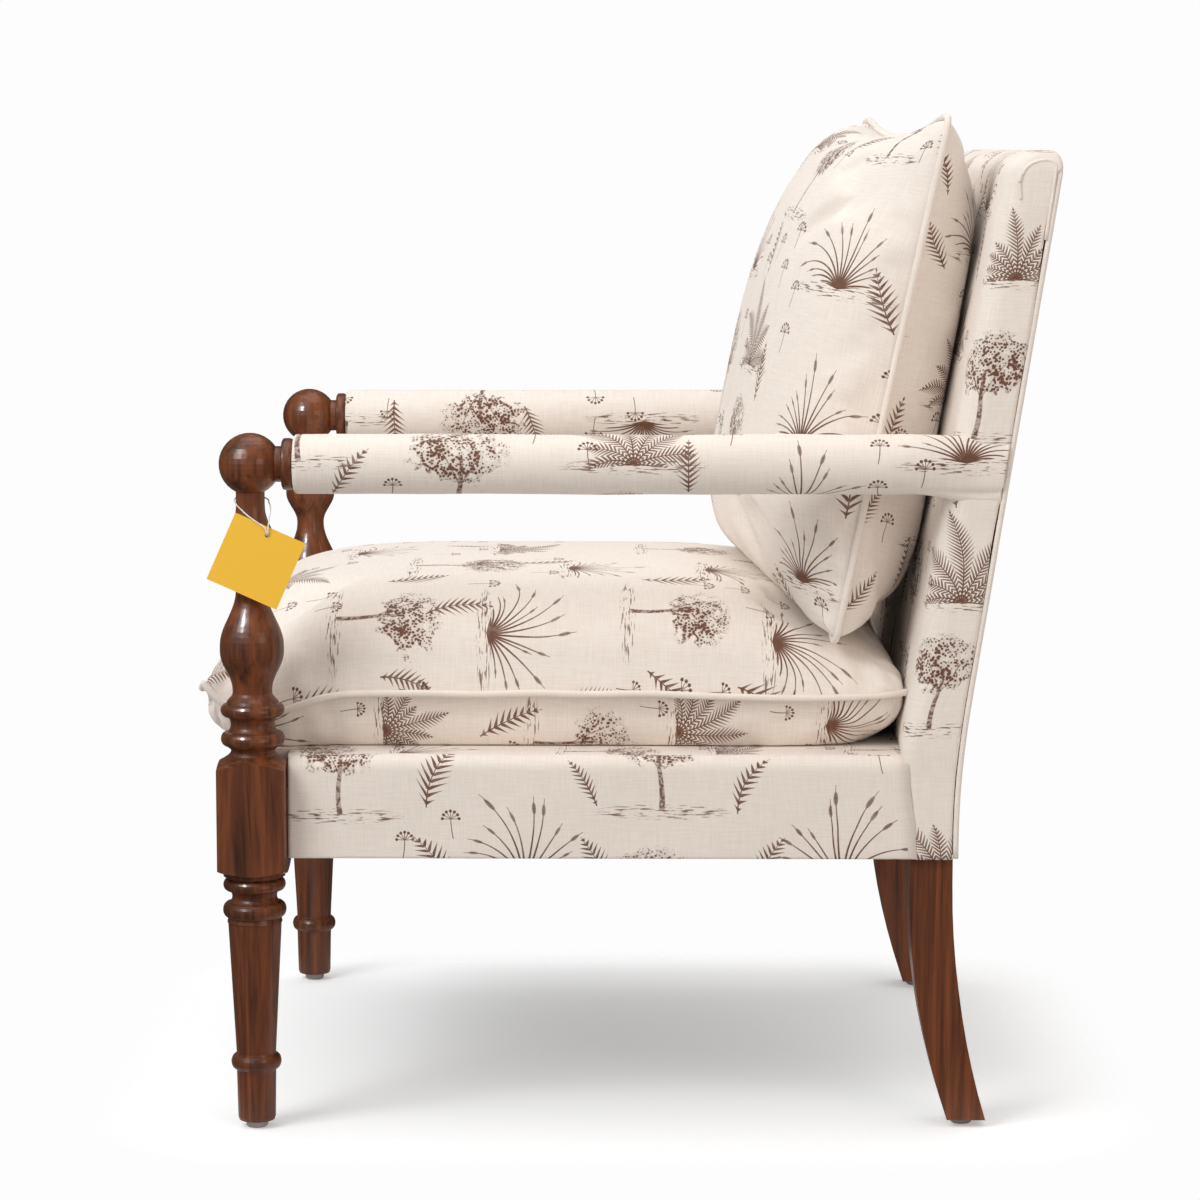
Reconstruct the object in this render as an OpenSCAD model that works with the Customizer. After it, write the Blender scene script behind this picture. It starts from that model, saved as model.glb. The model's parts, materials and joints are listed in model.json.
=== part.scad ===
// Open-arm accent chair: turned front posts, sabre rear legs, padded round arms, an upholstered seat band and
// raked back, a loose seat cushion and a loose back pillow.
// Millimetres. +X is the sitter's left, -Y is the front, +Z is up.
// The origin is on the floor, under the middle.
// The modules draw in a working frame whose y = 0 is the line through the front post axes.

/* [Overall] */
// Distance between the two front post axes
post_gap = 622; // [612:1:660]
// From the front post axes back to the foot of the back's rear face
seat_run = 647; // [630:1:680]
// Height of the underside of the upholstered seat band
band_bottom = 253; // [240:1:275]
// Height of the seat deck
deck_top = 348; // [342:1:372]
// Height of the arm axes
arm_z = 616; // [600:1:640]
// Height of the top of the back
back_top = 899; // [860:1:940]
// Backward rake of the back
rake = 9; // [6:0.5:11]

/* [Front posts] */
// Side of the square block
block_w = 62; // [58:1:64]
// Radius of the ball on top
ball_r = 28.4; // [27:0.1:30]
// Largest radius of the lower vase and of the beads
vase_r = 29.3; // [27:0.1:29.5]
// Largest radius of the upper vase
upper_vase_r = 25.8; // [22:0.1:28]
// Radius of the narrow necks
neck_r = 13.1; // [12:0.1:15]
// Radius of the tapered leg at its top
shaft_top_r = 24.6; // [22:0.1:26]
// Radius of the tapered leg at its foot
foot_r = 17.4; // [16:0.1:20]
// Height of the turned ring above the foot
ring_z = 62; // [55:1:80]

/* [Rear legs] */
// Width of a rear leg across the chair
leg_w = 44; // [40:1:50]
// Depth of a rear leg at its top
leg_depth = 39.6; // [37:0.2:41]
// Depth of a rear leg at its foot
leg_foot_depth = 35.4; // [32:0.2:38]
// Radius of the sabre curve
sabre_r = 720; // [650:10:900]

/* [Arms] */
// Outer radius of the padded arm
arm_r = 27.2; // [25:0.1:27.8]
// Radius of the wooden core
arm_core_r = 14; // [12:0.5:15]
// Radius of the turned collar
collar_r = 23.6; // [20:0.2:26]
// Radius of the spigot that enters the ball
spigot_r = 8; // [6:0.5:9]

/* [Upholstery] */
// Thickness of the covering fabric with its interlining
cover_t = 2.2; // [1.5:0.1:3]
// Side of the seat band and back, inward from the outer face of the blocks
side_inset = 24; // [22:1:28]
// Setback of the front band behind the front face of the blocks
front_setback = 9; // [6:1:12]
// Rounding along the top edges of the seat band
band_round = 13; // [8:1:16]
// Crown of the inside back
back_crown = 7; // [3:1:12]
// Diameter of the piping
welt_d = 5.2; // [4.4:0.2:5.6]
// Thickness of the board behind the outside back
board_t = 3; // [2:0.5:4]

/* [Seat cushion] */
// How far the cushion's ears reach in front of the post axes
ear_reach = 51; // [46:1:56]
// Height of the cushion's seam above the deck
seam_rise = 52; // [44:1:58]
// Crown above the seam
seat_crown = 98; // [90:1:120]
// How far the long sides are drawn in between the corners
seat_draw = 5; // [2:1:12]
// How far the front and rear edges are drawn in
seat_draw_end = 12; // [8:1:30]

/* [Back pillow] */
// Width between the ears
pillow_w = 536; // [500:1:540]
// Height between the ears
pillow_h = 497; // [470:1:510]
// Crown towards the front
pillow_front = 112; // [100:1:125]
// Crown towards the back
pillow_rear = 76; // [60:1:90]
// Backward lean
pillow_lean = 11.8; // [9:0.2:13]
// Turn about the vertical, as the pillow lies
pillow_turn = 4.8; // [0:0.2:5]

/* [Fittings] */
// Diameter of a glide
glide_d = 20; // [16:1:24]
// Height of a glide
glide_h = 7; // [5:1:9]
// Wire diameter of the seat springs
spring_d = 3.4; // [3:0.1:4]
// Side of the hang tag along its top
tag_w = 69; // [60:1:72]
// Height of the hang tag
tag_h = 66; // [56:1:70]

/* [Hidden] */
$fn = 48;

// Clearances
fit = 0.3;
bore_fit = 0.05;

// Plan of the chair
post_x = post_gap / 2;
side_x = post_x + block_w / 2 - side_inset;
leg_x1 = side_x - 6;
leg_x0 = leg_x1 - leg_w;
front_y = -block_w / 2 + front_setback;
block_edge_x = post_x - block_w / 2;
block_back_y = block_w / 2;

// Back: a straight foot, a bend and a straight raked run
bend_z = band_bottom + 9;
bend_r = 880;
bend_h = bend_r * sin(rake);
outside_t = 2.2;
top_r = 22;
top_front_round = 25;
top_rear_round = 12;
top_side_round = 9;
corner_rear_r = 4;
// The front corners of the back are tight where the seat band meets them
function corner_front_r(z) = lookup(z, [[deck_top - 60, 6], [deck_top, 9], [deck_top + 70, 22]]);

// Heights in the seat
rail_bottom = band_bottom + 3;
rail_t = 24;
clip_t = 1.2;
cloth_t = 1.5;
rail_top = deck_top - 30;
cloth_z = rail_top + clip_t + spring_d + fit;
pad_z = cloth_z + cloth_t;

// Posts: the block ends
block_bottom = band_bottom - 14;
block_top = deck_top - 4;
turn_core = 24.4;

// Dowels and screws
dowel_r = 5;
dowel_l = 40;
screw_r = 2.2;

fabric_rgb = [0.89, 0.83, 0.77];
piping_rgb = [0.93, 0.88, 0.83];
wood_rgb = [0.36, 0.18, 0.1];
frame_rgb = [0.8, 0.68, 0.5];
foam_rgb = [0.93, 0.9, 0.78];
steel_rgb = [0.62, 0.63, 0.65];
cloth_rgb = [0.2, 0.2, 0.21];
board_rgb = [0.66, 0.55, 0.42];
glide_rgb = [0.55, 0.52, 0.5];
tag_rgb = [0.98, 0.76, 0.27];
string_rgb = [0.95, 0.95, 0.93];

// General functions

function lerp(a, b, t) = a + (b - a) * t;
function ease(t) = (1 - cos(180 * t)) / 2;
function unit(v) = v / norm(v);
function clamp01(t) = max(0, min(1, t));

// [radius, height] points of a bead, or of a cove where bulge is negative
function bead(z, h, core, bulge, n = 8) =
    [for (i = [0:n]) let (a = -90 + 180 * i / n) [core + bulge * cos(a), z + h / 2 * sin(a)]];

// [radius, height] points of an S-curve between two radii
function s_curve(r1, z1, r2, z2, n = 10) =
    [for (i = [0:n]) [lerp(r1, r2, ease(i / n)), lerp(z1, z2, i / n)]];

// Outward faces between two rings of n points, the second above the first
function wall_faces(a, b, n) =
    [for (i = [0:n - 1]) let (j = (i + 1) % n) each [[a + i, b + j, a + j], [a + i, b + i, b + j]]];
function cap_up(a, n) = [for (i = [1:n - 2]) [a, a + i + 1, a + i]];
function cap_down(a, n) = [for (i = [1:n - 2]) [a, a + i, a + i + 1]];

// A skin over a list of rings that turn counter-clockwise seen from above
module loft(rings) {
    n = len(rings[0]);
    last = len(rings) - 1;
    polyhedron(
        points = [for (ring = rings) each ring],
        faces = concat(
            cap_down(0, n),
            [for (k = [0:last - 1]) each wall_faces(k * n, (k + 1) * n, n)],
            cap_up(last * n, n)
        )
    );
}

// A smooth curve through hand-placed points, each span cut in n steps
function smooth(points, n) =
    let (last = len(points) - 1)
    concat(
        [for (i = [0:last - 1], k = [0:n - 1])
            let (
                t = k / n, a = points[max(i - 1, 0)], b = points[i],
                c = points[i + 1], d = points[min(i + 2, last)]
            )
            b + t / 2 * (c - a) + t * t / 2 * (2 * a - 5 * b + 4 * c - d)
                + t * t * t / 2 * (3 * b - a - 3 * c + d)],
        [points[last]]
    );

// One ring of a tube at p, square to tangent t
function tube_ring(p, t, up, r, sides) =
    let (s = unit(cross(t, up)), w = cross(s, t))
    [for (i = [0:sides - 1]) let (a = 360 * i / sides) p + r * (cos(a) * s + sin(a) * w)];

// A tube along a path; up is never along the path
module tube(path, r, sides, up, closed = false) {
    n = len(path);
    tangents = [
        for (i = [0:n - 1])
            let (
                before = closed ? (i + n - 1) % n : max(i - 1, 0),
                after = closed ? (i + 1) % n : min(i + 1, n - 1)
            )
            unit(path[after] - path[before])
    ];
    rings = [for (i = [0:n - 1]) tube_ring(path[i], tangents[i], up, r, sides)];
    if (closed) {
        polyhedron(
            points = [for (ring = rings) each ring],
            faces = [for (k = [0:n - 1]) each wall_faces(k * sides, ((k + 1) % n) * sides, sides)]
        );
    } else {
        loft(rings);
    }
}

// Draws its children on the chosen side: 1 is the left, -1 the right
module on_side(side) {
    if (side > 0) {
        children();
    } else {
        mirror([1, 0, 0]) children();
    }
}

module both_sides() {
    on_side(1) children();
    on_side(-1) children();
}

// A rod along Y from y1 to y2
module rod_y(r, x, z, y1, y2) {
    translate([x, y1, z]) rotate([-90, 0, 0]) cylinder(r = r, h = y2 - y1);
}

// A rod along X from x1 to x2
module rod_x(r, y, z, x1, x2) {
    translate([x1, y, z]) rotate([0, 90, 0]) cylinder(r = r, h = x2 - x1);
}

// A side outline of [y, z] points, extruded across from x1 to x2
module across(points, x1, x2) {
    translate([x1, 0, 0])
        rotate([90, 0, 90])
            linear_extrude(x2 - x1)
                polygon(points);
}

module box(x1, y1, z1, x2, y2, z2) {
    translate([x1, y1, z1]) cube([x2 - x1, y2 - y1, z2 - z1]);
}

// Moves the working frame so that the origin is under the chair's middle
module placed() {
    translate([0, -mid_y, 0]) children();
}

// Shape of the back, seen from the side

// y of the rear face at height z
function rear_face(z) =
    let (
        rise = max(0, z - bend_z),
        bent = min(rise, bend_h),
        arc = bend_r * (1 - cos(asin(bent / bend_r)))
    )
    seat_run + arc + (rise - bent) * tan(rake);

// Thickness of the back, front to rear, at height z
function back_depth(z) = lookup(z, [
    [band_bottom, 44], [deck_top - 64, 45], [deck_top - 28, 54], [deck_top + 12, 66],
    [deck_top + 190, 71], [arm_z + 30, 62], [back_top - 90, 56], [back_top, 51]
]);
function front_face(z) = rear_face(z) - back_depth(z);

shell_t = board_t + outside_t;
cover_rear_gap = shell_t + fit;
stile_gap = cover_rear_gap + cover_t + fit;
stile_depth = leg_depth - 4.6;
function stile_rear(z) = rear_face(z) - stile_gap;
function stile_front(z) = stile_rear(z) - stile_depth;

// The outside panel stops at the piping; the rearmost point of the chair is the piping along the top
welt_r = welt_d / 2;
panel_hw = side_x - welt_d - fit;
panel_top = back_top - top_r * 0.55 - welt_d - fit;
welt_top = panel_top + fit + welt_r;
mid_y = (rear_face(welt_top) - ear_reach) / 2;

body_levels = 15;
top_levels = 5;
function body_z(i) = lerp(band_bottom, back_top - top_r, i / body_levels);
frame_levels = [for (i = [0:body_levels]) body_z(i)];

// Crown of the inside back, none at the deck and at the top
crown_z = deck_top + 32;
function crown_at(z) = back_crown * max(0, sin(180 * clamp01((z - crown_z) / (back_top - crown_z))));

// Plan outline of the back at height z: half-width, front y, rear y, crown
function back_outline(z, hw, yf, yr, rf, rr, crown) = concat(
    [for (i = [0:4]) let (a = 180 + 22.5 * i) [-(hw - rf) + rf * cos(a), yf + rf + rf * sin(a), z]],
    [for (i = [1:5]) let (t = i / 3 - 1) [(hw - rf) * t, yf - crown * (1 - t * t), z]],
    [for (i = [0:4]) let (a = 270 + 22.5 * i) [hw - rf + rf * cos(a), yf + rf + rf * sin(a), z]],
    [for (i = [0:2]) let (a = 45 * i) [hw - rr + rr * cos(a), yr - rr + rr * sin(a), z]],
    [for (i = [0:2]) let (a = 90 + 45 * i) [-(hw - rr) + rr * cos(a), yr - rr + rr * sin(a), z]]
);

// Rings of the back's soft body, drawn in by d from the cover's outer face
function back_rings(d) = concat(
    [for (z = frame_levels)
        back_outline(z, side_x - d, front_face(z) + d, rear_face(z) - cover_rear_gap - d,
            corner_front_r(z) - d, corner_rear_r - d / 2, crown_at(z))],
    [for (k = [1:top_levels])
        let (
            a = 90 * k / top_levels,
            z = back_top - d - top_r * (1 - sin(a)),
            in = 1 - cos(a)
        )
        back_outline(z, side_x - d - top_side_round * in, front_face(z) + d + top_front_round * in,
            rear_face(z) - cover_rear_gap - d - top_rear_round * in,
            corner_front_r(z) - d - 6 * in, corner_rear_r - d / 2, crown_at(z) * (1 - in))]
);

// Front posts

turned_below = concat(
    [[0, glide_h], [foot_r - 1, glide_h], [foot_r, glide_h + 3], [foot_r + 0.8, ring_z - 9]],
    bead(ring_z, 14, foot_r + 1.2, 4.6),
    [[foot_r + 0.8, ring_z + 8.5], [shaft_top_r, block_bottom - 46]],
    [[shaft_top_r + 0.8, block_bottom - 45.5]],
    bead(block_bottom - 34, 14, turn_core, 4.8),
    bead(block_bottom - 21.5, 11, turn_core, -3.8),
    bead(block_bottom - 10.5, 11, turn_core, 4.3),
    [[turn_core + 0.8, block_bottom - 4.2], [turn_core + 0.8, block_bottom - 3]],
    [[28.4, block_bottom - 2.5], [28.4, block_bottom + 1], [0, block_bottom + 1]]
);
ball_low = acos(neck_r / ball_r);
ball_arc = [
    for (i = [0:16])
        let (a = lerp(-ball_low, 90, i / 16))
        [ball_r * cos(a), arm_z + ball_r * sin(a)]
];
turned_above = concat(
    [[0, block_top], [20.2, block_top], [20.2, block_top + 10], [turn_core, block_top + 13.5]],
    bead(block_top + 20, 13, turn_core, vase_r - turn_core),
    bead(block_top + 33.5, 14, turn_core, -4.2),
    bead(block_top + 46.5, 12, turn_core, vase_r - turn_core),
    s_curve(turn_core - 0.4, block_top + 53, 18.2, block_top + 62, 4),
    s_curve(18.2, block_top + 65, vase_r, block_top + 100),
    s_curve(vase_r, block_top + 106, neck_r + 1.1, arm_z - 116),
    s_curve(neck_r + 1.1, arm_z - 114, upper_vase_r, arm_z - 84),
    s_curve(upper_vase_r, arm_z - 82, neck_r, arm_z - 38),
    ball_arc
);
// The turned shoulders that round the block's corners
block_envelope = [
    [0, block_bottom], [28.4, block_bottom], [block_w / 2 + 0.2, block_bottom + 1],
    [37, block_bottom + 3.5], [block_w * 0.73, block_bottom + 7],
    [block_w * 0.73, block_top - 6.5], [38, block_top - 3], [block_w / 2 + 0.2, block_top - 0.4],
    [26.5, block_top + 2.2], [22.5, block_top + 5], [20.2, block_top + 8], [0, block_top + 8]
];
socket_depth = 18;
dowel_in = dowel_l / 2;
side_dowel_x = side_x - cover_t - 1 - rail_t / 2 - 1;
front_dowel_y = front_y + cover_t + 1 + rail_t / 2;
dowel_zs = [lerp(rail_bottom, rail_top, 0.27), lerp(rail_bottom, rail_top, 0.73)];

module front_post(side) {
    color(wood_rgb)
        on_side(side)
            difference() {
                translate([post_x, 0, 0])
                    union() {
                        rotate_extrude() polygon(turned_below);
                        rotate_extrude() polygon(turned_above);
                        intersection() {
                            translate([-block_w / 2, -block_w / 2, block_bottom])
                                cube([block_w, block_w, block_top - block_bottom + 8]);
                            rotate_extrude() polygon(block_envelope);
                        }
                    }
                rod_y(spigot_r + bore_fit, post_x, arm_z, ball_r - socket_depth, ball_r + 1);
                for (z = dowel_zs) {
                    rod_y(dowel_r + bore_fit, side_dowel_x, z, block_back_y - dowel_in, block_back_y + 1);
                    rod_x(dowel_r + bore_fit, front_dowel_y, z, block_edge_x - 1, block_edge_x + dowel_in);
                }
                translate([post_x, 0, 0]) nail_bore();
            }
}

// Rear legs: sabre leg below, raked stile above

leg_setback = 4.8;
leg_y = seat_run - leg_setback - leg_depth / 2;
leg_top = band_bottom - fit;
sabre_top = band_bottom - 25;
function sabre_y(z) =
    let (drop = max(0, sabre_top - z)) leg_y + sabre_r - sqrt(sabre_r * sabre_r - drop * drop);
function sabre_half(z) = lerp(leg_foot_depth, leg_depth, clamp01(z / 120)) / 2;
leg_levels = [for (i = [0:10]) lerp(glide_h, leg_top, i / 10)];
stile_levels = [for (i = [0:14]) body_z(i)];
foot_y = sabre_y(glide_h) - 3;
stile_foot_y = stile_front(band_bottom);
leg_outline = concat(
    [for (z = leg_levels) [sabre_y(z) + sabre_half(z), z]],
    [for (z = stile_levels) [stile_rear(z), z]],
    [for (i = [len(stile_levels) - 1:-1:0])
        let (z = stile_levels[i])
        if (z > rail_top + 5) [stile_front(z), z]],
    [[stile_foot_y, rail_top + 2], [stile_foot_y, leg_top]],
    [for (i = [len(leg_levels) - 1:-1:0]) let (z = leg_levels[i]) [sabre_y(z) - sabre_half(z), z]]
);
rear_dowel_y = leg_y;
lap_y2 = stile_rear(arm_z);
lap_y1 = stile_front(arm_z - arm_core_r);
arm_screw_ys = [lerp(lap_y1, lap_y2, 0.3), lerp(lap_y1, lap_y2, 0.72)];
top_rail_z1 = back_top - 78;
top_rail_z2 = back_top - 38;
lower_rail_z1 = deck_top + 55;
lower_rail_z2 = deck_top + 100;
back_rail_t = 22;

module rear_leg(side) {
    color(wood_rgb)
        on_side(side)
            difference() {
                across(leg_outline, leg_x0, leg_x1);
                for (z = dowel_zs) {
                    rod_y(dowel_r + bore_fit, side_dowel_x, z, stile_foot_y - 1, stile_foot_y + dowel_in);
                    rod_x(dowel_r + bore_fit, rear_dowel_y, z, leg_x0 - 1, leg_x0 + dowel_in);
                }
                for (z = back_dowel_zs) {
                    rod_x(dowel_r + bore_fit, back_dowel_y(z), z, leg_x0 - 1, leg_x0 + dowel_in);
                }
                for (y = arm_screw_ys) {
                    rod_x(screw_r + bore_fit, y, arm_z, leg_x1 - arm_screw_in, leg_x1 + 1);
                }
                translate([(leg_x0 + leg_x1) / 2, foot_y, 0]) nail_bore();
            }
}

// Glides and their nails

nail_r = 1.5;
nail_l = 24;
nail_head_h = 1.5;

module nail_bore() {
    cylinder(r = nail_r + bore_fit, h = glide_h + nail_l);
}

module at_feet() {
    both_sides() {
        translate([post_x, 0, 0]) children();
        translate([(leg_x0 + leg_x1) / 2, foot_y, 0]) children();
    }
}

module glides() {
    color(glide_rgb)
        at_feet()
            difference() {
                rotate_extrude()
                    polygon([
                        [0, 0], [glide_d / 2 - 1.5, 0], [glide_d / 2, 1.5],
                        [glide_d / 2, glide_h], [0, glide_h]
                    ]);
                translate([0, 0, -1]) cylinder(r = nail_r + bore_fit, h = glide_h + 2);
                translate([0, 0, -1]) cylinder(r = 2 * nail_r + fit, h = nail_head_h + 2);
            }
}

module glide_nails() {
    color(steel_rgb)
        at_feet() {
            translate([0, 0, nail_head_h / 3]) cylinder(r = 2 * nail_r, h = nail_head_h / 2);
            translate([0, 0, nail_head_h / 3]) cylinder(r = nail_r, h = glide_h + nail_l - 3);
        }
}

// Arms

collar_y1 = ball_r + 1.1;
collar_y2 = collar_y1 + 10;
sleeve_y1 = collar_y2 + fit;
spigot_y1 = ball_r - socket_depth + 1;
arm_screw_in = 26;
arm_head_t = 2;
fabric_t = cover_t + 0.3;
tongue_t = 9.5;
tongue_x = leg_x1 + tongue_t;
tongue_run = 10;
taper_run = 60;

module arm_collar(side) {
    color(wood_rgb)
        on_side(side)
            difference() {
                translate([post_x, 0, arm_z])
                    rotate([-90, 0, 0])
                        rotate_extrude()
                            polygon([
                                [0, ball_r * 0.7], [16.3, ball_r * 0.7], [16.3, collar_y1],
                                [collar_r - 2.4, collar_y1], [collar_r - 0.6, collar_y1 + 1],
                                [collar_r, collar_y1 + 2.5], [collar_r, collar_y2 - 2.5],
                                [collar_r - 0.8, collar_y2 - 0.8], [collar_r - 2, collar_y2],
                                [0, collar_y2]
                            ]);
                translate([post_x, 0, arm_z]) sphere(r = ball_r + fit);
                rod_y(spigot_r + bore_fit, post_x, arm_z, 0, collar_y2 + 1);
            }
}

// What is planed off the round rail: a taper, then a flat tongue over the lap
module tongue_cut() {
    far_x = post_x + 2 * arm_r;
    translate([0, 0, arm_z - 2 * arm_r])
        linear_extrude(4 * arm_r)
            polygon([
                [post_x + arm_core_r, lap_y1 - tongue_run - taper_run],
                [tongue_x, lap_y1 - tongue_run], [tongue_x, lap_y2 + 1],
                [far_x, lap_y2 + 1], [far_x, lap_y1 - tongue_run - taper_run]
            ]);
}

// The wooden core: spigot, round rail, and a tongue lapped against the outer side of the stile
module arm_rail(side) {
    color(frame_rgb)
        on_side(side)
            difference() {
                union() {
                    rod_y(spigot_r, post_x, arm_z, spigot_y1, collar_y2 + 1);
                    rod_y(arm_core_r, post_x, arm_z, collar_y2 + fit, lap_y2 - 1);
                }
                box(0, lap_y1 - fit, arm_z - 2 * arm_r, leg_x1 + fit, lap_y2, arm_z + 2 * arm_r);
                tongue_cut();
                for (y = arm_screw_ys) {
                    rod_x(screw_r + bore_fit, y, arm_z, leg_x1 - 1, tongue_x + 1);
                    rod_x(2 * screw_r + bore_fit, y, arm_z, tongue_x - fit - arm_head_t, tongue_x + 1);
                }
            }
}

module arm_screws() {
    color(steel_rgb)
        both_sides()
            for (y = arm_screw_ys) {
                rod_x(screw_r, y, arm_z, leg_x1 - arm_screw_in + 1, tongue_x - fit - arm_head_t);
                rod_x(2 * screw_r, y, arm_z, tongue_x - fit - arm_head_t, tongue_x - fit);
            }
}

// What the back and its outside panel take away from a padded arm
module back_clearance(gap) {
    levels = [for (dz = [-45:15:45]) arm_z + dz];
    across(
        concat(
            [for (z = levels) [front_face(z) - back_crown - gap, z]],
            [[rear_face(arm_z) + 80, arm_z + 45], [rear_face(arm_z) + 80, arm_z - 45]]
        ),
        0, side_x + gap
    );
}

// Beyond the rear edge of the back
module behind_back(gap) {
    levels = [for (dz = [-45:15:45]) arm_z + dz];
    across(
        concat(
            [for (z = levels) [rear_face(z) - welt_d - gap, z]],
            [[rear_face(arm_z) + 80, arm_z + 45], [rear_face(arm_z) + 80, arm_z - 45]]
        ),
        0, post_x + 2 * arm_r
    );
}

module arm_sleeve(r_in, r_out) {
    difference() {
        rod_y(r_out, post_x, arm_z, sleeve_y1, seat_run + 60);
        rod_y(r_in, post_x, arm_z, sleeve_y1 - 1, seat_run + 61);
        back_clearance(fit);
        behind_back(fit);
    }
}

module arm_pad(side) {
    color(foam_rgb) on_side(side) arm_sleeve(arm_core_r + fit, arm_r - fabric_t);
}

module arm_cover(side) {
    color(fabric_rgb) on_side(side) arm_sleeve(arm_r - fabric_t + 0.1, arm_r);
}

// Seat frame

side_rail_x2 = side_dowel_x + rail_t / 2;
side_rail_x1 = side_dowel_x - rail_t / 2;
front_rail_y1 = front_dowel_y - rail_t / 2;
front_rail_y2 = front_dowel_y + rail_t / 2;
back_rail_y1 = rear_dowel_y - rail_t / 2;
back_rail_y2 = rear_dowel_y + rail_t / 2;
block_reach = 95;
corner_z1 = rail_bottom + 6;
corner_z2 = rail_top - 10;
corner_screw_z = (corner_z1 + corner_z2) / 2;
corner_screw_in = 14;
front_screw_x = side_rail_x1 - 0.68 * block_reach;
side_screw_y = front_rail_y2 + 0.68 * block_reach;
rear_screw_x = front_screw_x;
rear_side_screw_y = back_rail_y1 - 0.68 * block_reach;
corner_depth = 0.32 * block_reach;
corner_head_lift = 2 * screw_r + 2;

module front_seat_rail() {
    color(frame_rgb)
        difference() {
            box(-block_edge_x, front_rail_y1, rail_bottom, block_edge_x, front_rail_y2, rail_top);
            both_sides() {
                for (z = dowel_zs)
                    rod_x(dowel_r + bore_fit, front_dowel_y, z, block_edge_x - dowel_in, block_edge_x + 1);
                rod_y(screw_r + bore_fit, front_screw_x, corner_screw_z,
                    front_rail_y2 - corner_screw_in, front_rail_y2 + 1);
            }
        }
}

module back_seat_rail() {
    color(frame_rgb)
        difference() {
            box(-leg_x0, back_rail_y1, rail_bottom, leg_x0, back_rail_y2, rail_top);
            both_sides() {
                for (z = dowel_zs)
                    rod_x(dowel_r + bore_fit, rear_dowel_y, z, leg_x0 - dowel_in, leg_x0 + 1);
                rod_y(screw_r + bore_fit, rear_screw_x, corner_screw_z,
                    back_rail_y1 - 1, back_rail_y1 + corner_screw_in);
            }
        }
}

module side_rail(side) {
    color(frame_rgb)
        on_side(side)
            difference() {
                box(side_rail_x1, block_back_y, rail_bottom, side_rail_x2, stile_foot_y, rail_top);
                for (z = dowel_zs) {
                    rod_y(dowel_r + bore_fit, side_dowel_x, z, block_back_y - 1, block_back_y + dowel_in);
                    rod_y(dowel_r + bore_fit, side_dowel_x, z, stile_foot_y - dowel_in, stile_foot_y + 1);
                }
                for (y = [side_screw_y, rear_side_screw_y])
                    rod_x(screw_r + bore_fit, y, corner_screw_z,
                        side_rail_x1 - 1, side_rail_x1 + corner_screw_in);
            }
}

module rail_dowels() {
    half = dowel_in - 1;
    color(frame_rgb)
        both_sides()
            for (z = dowel_zs) {
                rod_x(dowel_r, front_dowel_y, z, block_edge_x - half, block_edge_x + half);
                rod_x(dowel_r, rear_dowel_y, z, leg_x0 - half, leg_x0 + half);
                rod_y(dowel_r, side_dowel_x, z, block_back_y - half, block_back_y + half);
                rod_y(dowel_r, side_dowel_x, z, stile_foot_y - half, stile_foot_y + half);
            }
}

module corner_blocks() {
    color(frame_rgb)
        both_sides()
            difference() {
                translate([0, 0, corner_z1])
                    linear_extrude(corner_z2 - corner_z1)
                        union() {
                            polygon([
                                [side_rail_x1, front_rail_y2 + block_reach], [side_rail_x1, block_back_y],
                                [block_edge_x, block_back_y], [block_edge_x, front_rail_y2],
                                [side_rail_x1 - block_reach, front_rail_y2]
                            ]);
                            polygon([
                                [side_rail_x1, back_rail_y1 - block_reach],
                                [side_rail_x1 - block_reach, back_rail_y1],
                                [leg_x0, back_rail_y1], [leg_x0, stile_foot_y], [side_rail_x1, stile_foot_y]
                            ]);
                        }
                corner_screw_set(screw_r + bore_fit, corner_head_lift);
            }
}

// Shanks of the screws through the corner blocks; extra lengthens them at the head
module corner_screw_set(r, extra) {
    inner = corner_screw_in - 1;
    rod_y(r, front_screw_x, corner_screw_z, front_rail_y2 - inner, front_rail_y2 + corner_depth + extra);
    rod_x(r, side_screw_y, corner_screw_z, side_rail_x1 - corner_depth - extra, side_rail_x1 + inner);
    rod_y(r, rear_screw_x, corner_screw_z, back_rail_y1 - corner_depth - extra, back_rail_y1 + inner);
    rod_x(r, rear_side_screw_y, corner_screw_z, side_rail_x1 - corner_depth - extra, side_rail_x1 + inner);
}

module corner_screws() {
    head_l = 4;
    lift = corner_head_lift;
    color(steel_rgb)
        both_sides() {
            corner_screw_set(screw_r, lift);
            rod_y(2 * screw_r, front_screw_x, corner_screw_z,
                front_rail_y2 + corner_depth + lift, front_rail_y2 + corner_depth + lift + head_l);
            rod_x(2 * screw_r, side_screw_y, corner_screw_z,
                side_rail_x1 - corner_depth - lift - head_l, side_rail_x1 - corner_depth - lift);
            rod_y(2 * screw_r, rear_screw_x, corner_screw_z,
                back_rail_y1 - corner_depth - lift - head_l, back_rail_y1 - corner_depth - lift);
            rod_x(2 * screw_r, rear_side_screw_y, corner_screw_z,
                side_rail_x1 - corner_depth - lift - head_l, side_rail_x1 - corner_depth - lift);
        }
}

// Springing and deck

spring_xs = [-165, -55, 55, 165];
spring_half = 24;
spring_waves = 18;
clip_half_x = 12;
clip_half_y = 8;
spring_y1 = front_dowel_y;
spring_y2 = rear_dowel_y;
spring_z = rail_top + clip_t + spring_d / 2;
function zigzag(a) = sign(sin(a)) * pow(abs(sin(a)), 0.4);
spring_path = [
    for (i = [0:4 * spring_waves - 1])
        let (t = (i + 0.5) / (4 * spring_waves))
        [spring_half * zigzag(180 * spring_waves * t), lerp(spring_y1, spring_y2, t), spring_z]
];

module seat_springs() {
    color(steel_rgb)
        for (x = spring_xs)
            translate([x, 0, 0]) tube(spring_path, spring_d / 2, 5, [0, 0, 1]);
}

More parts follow.
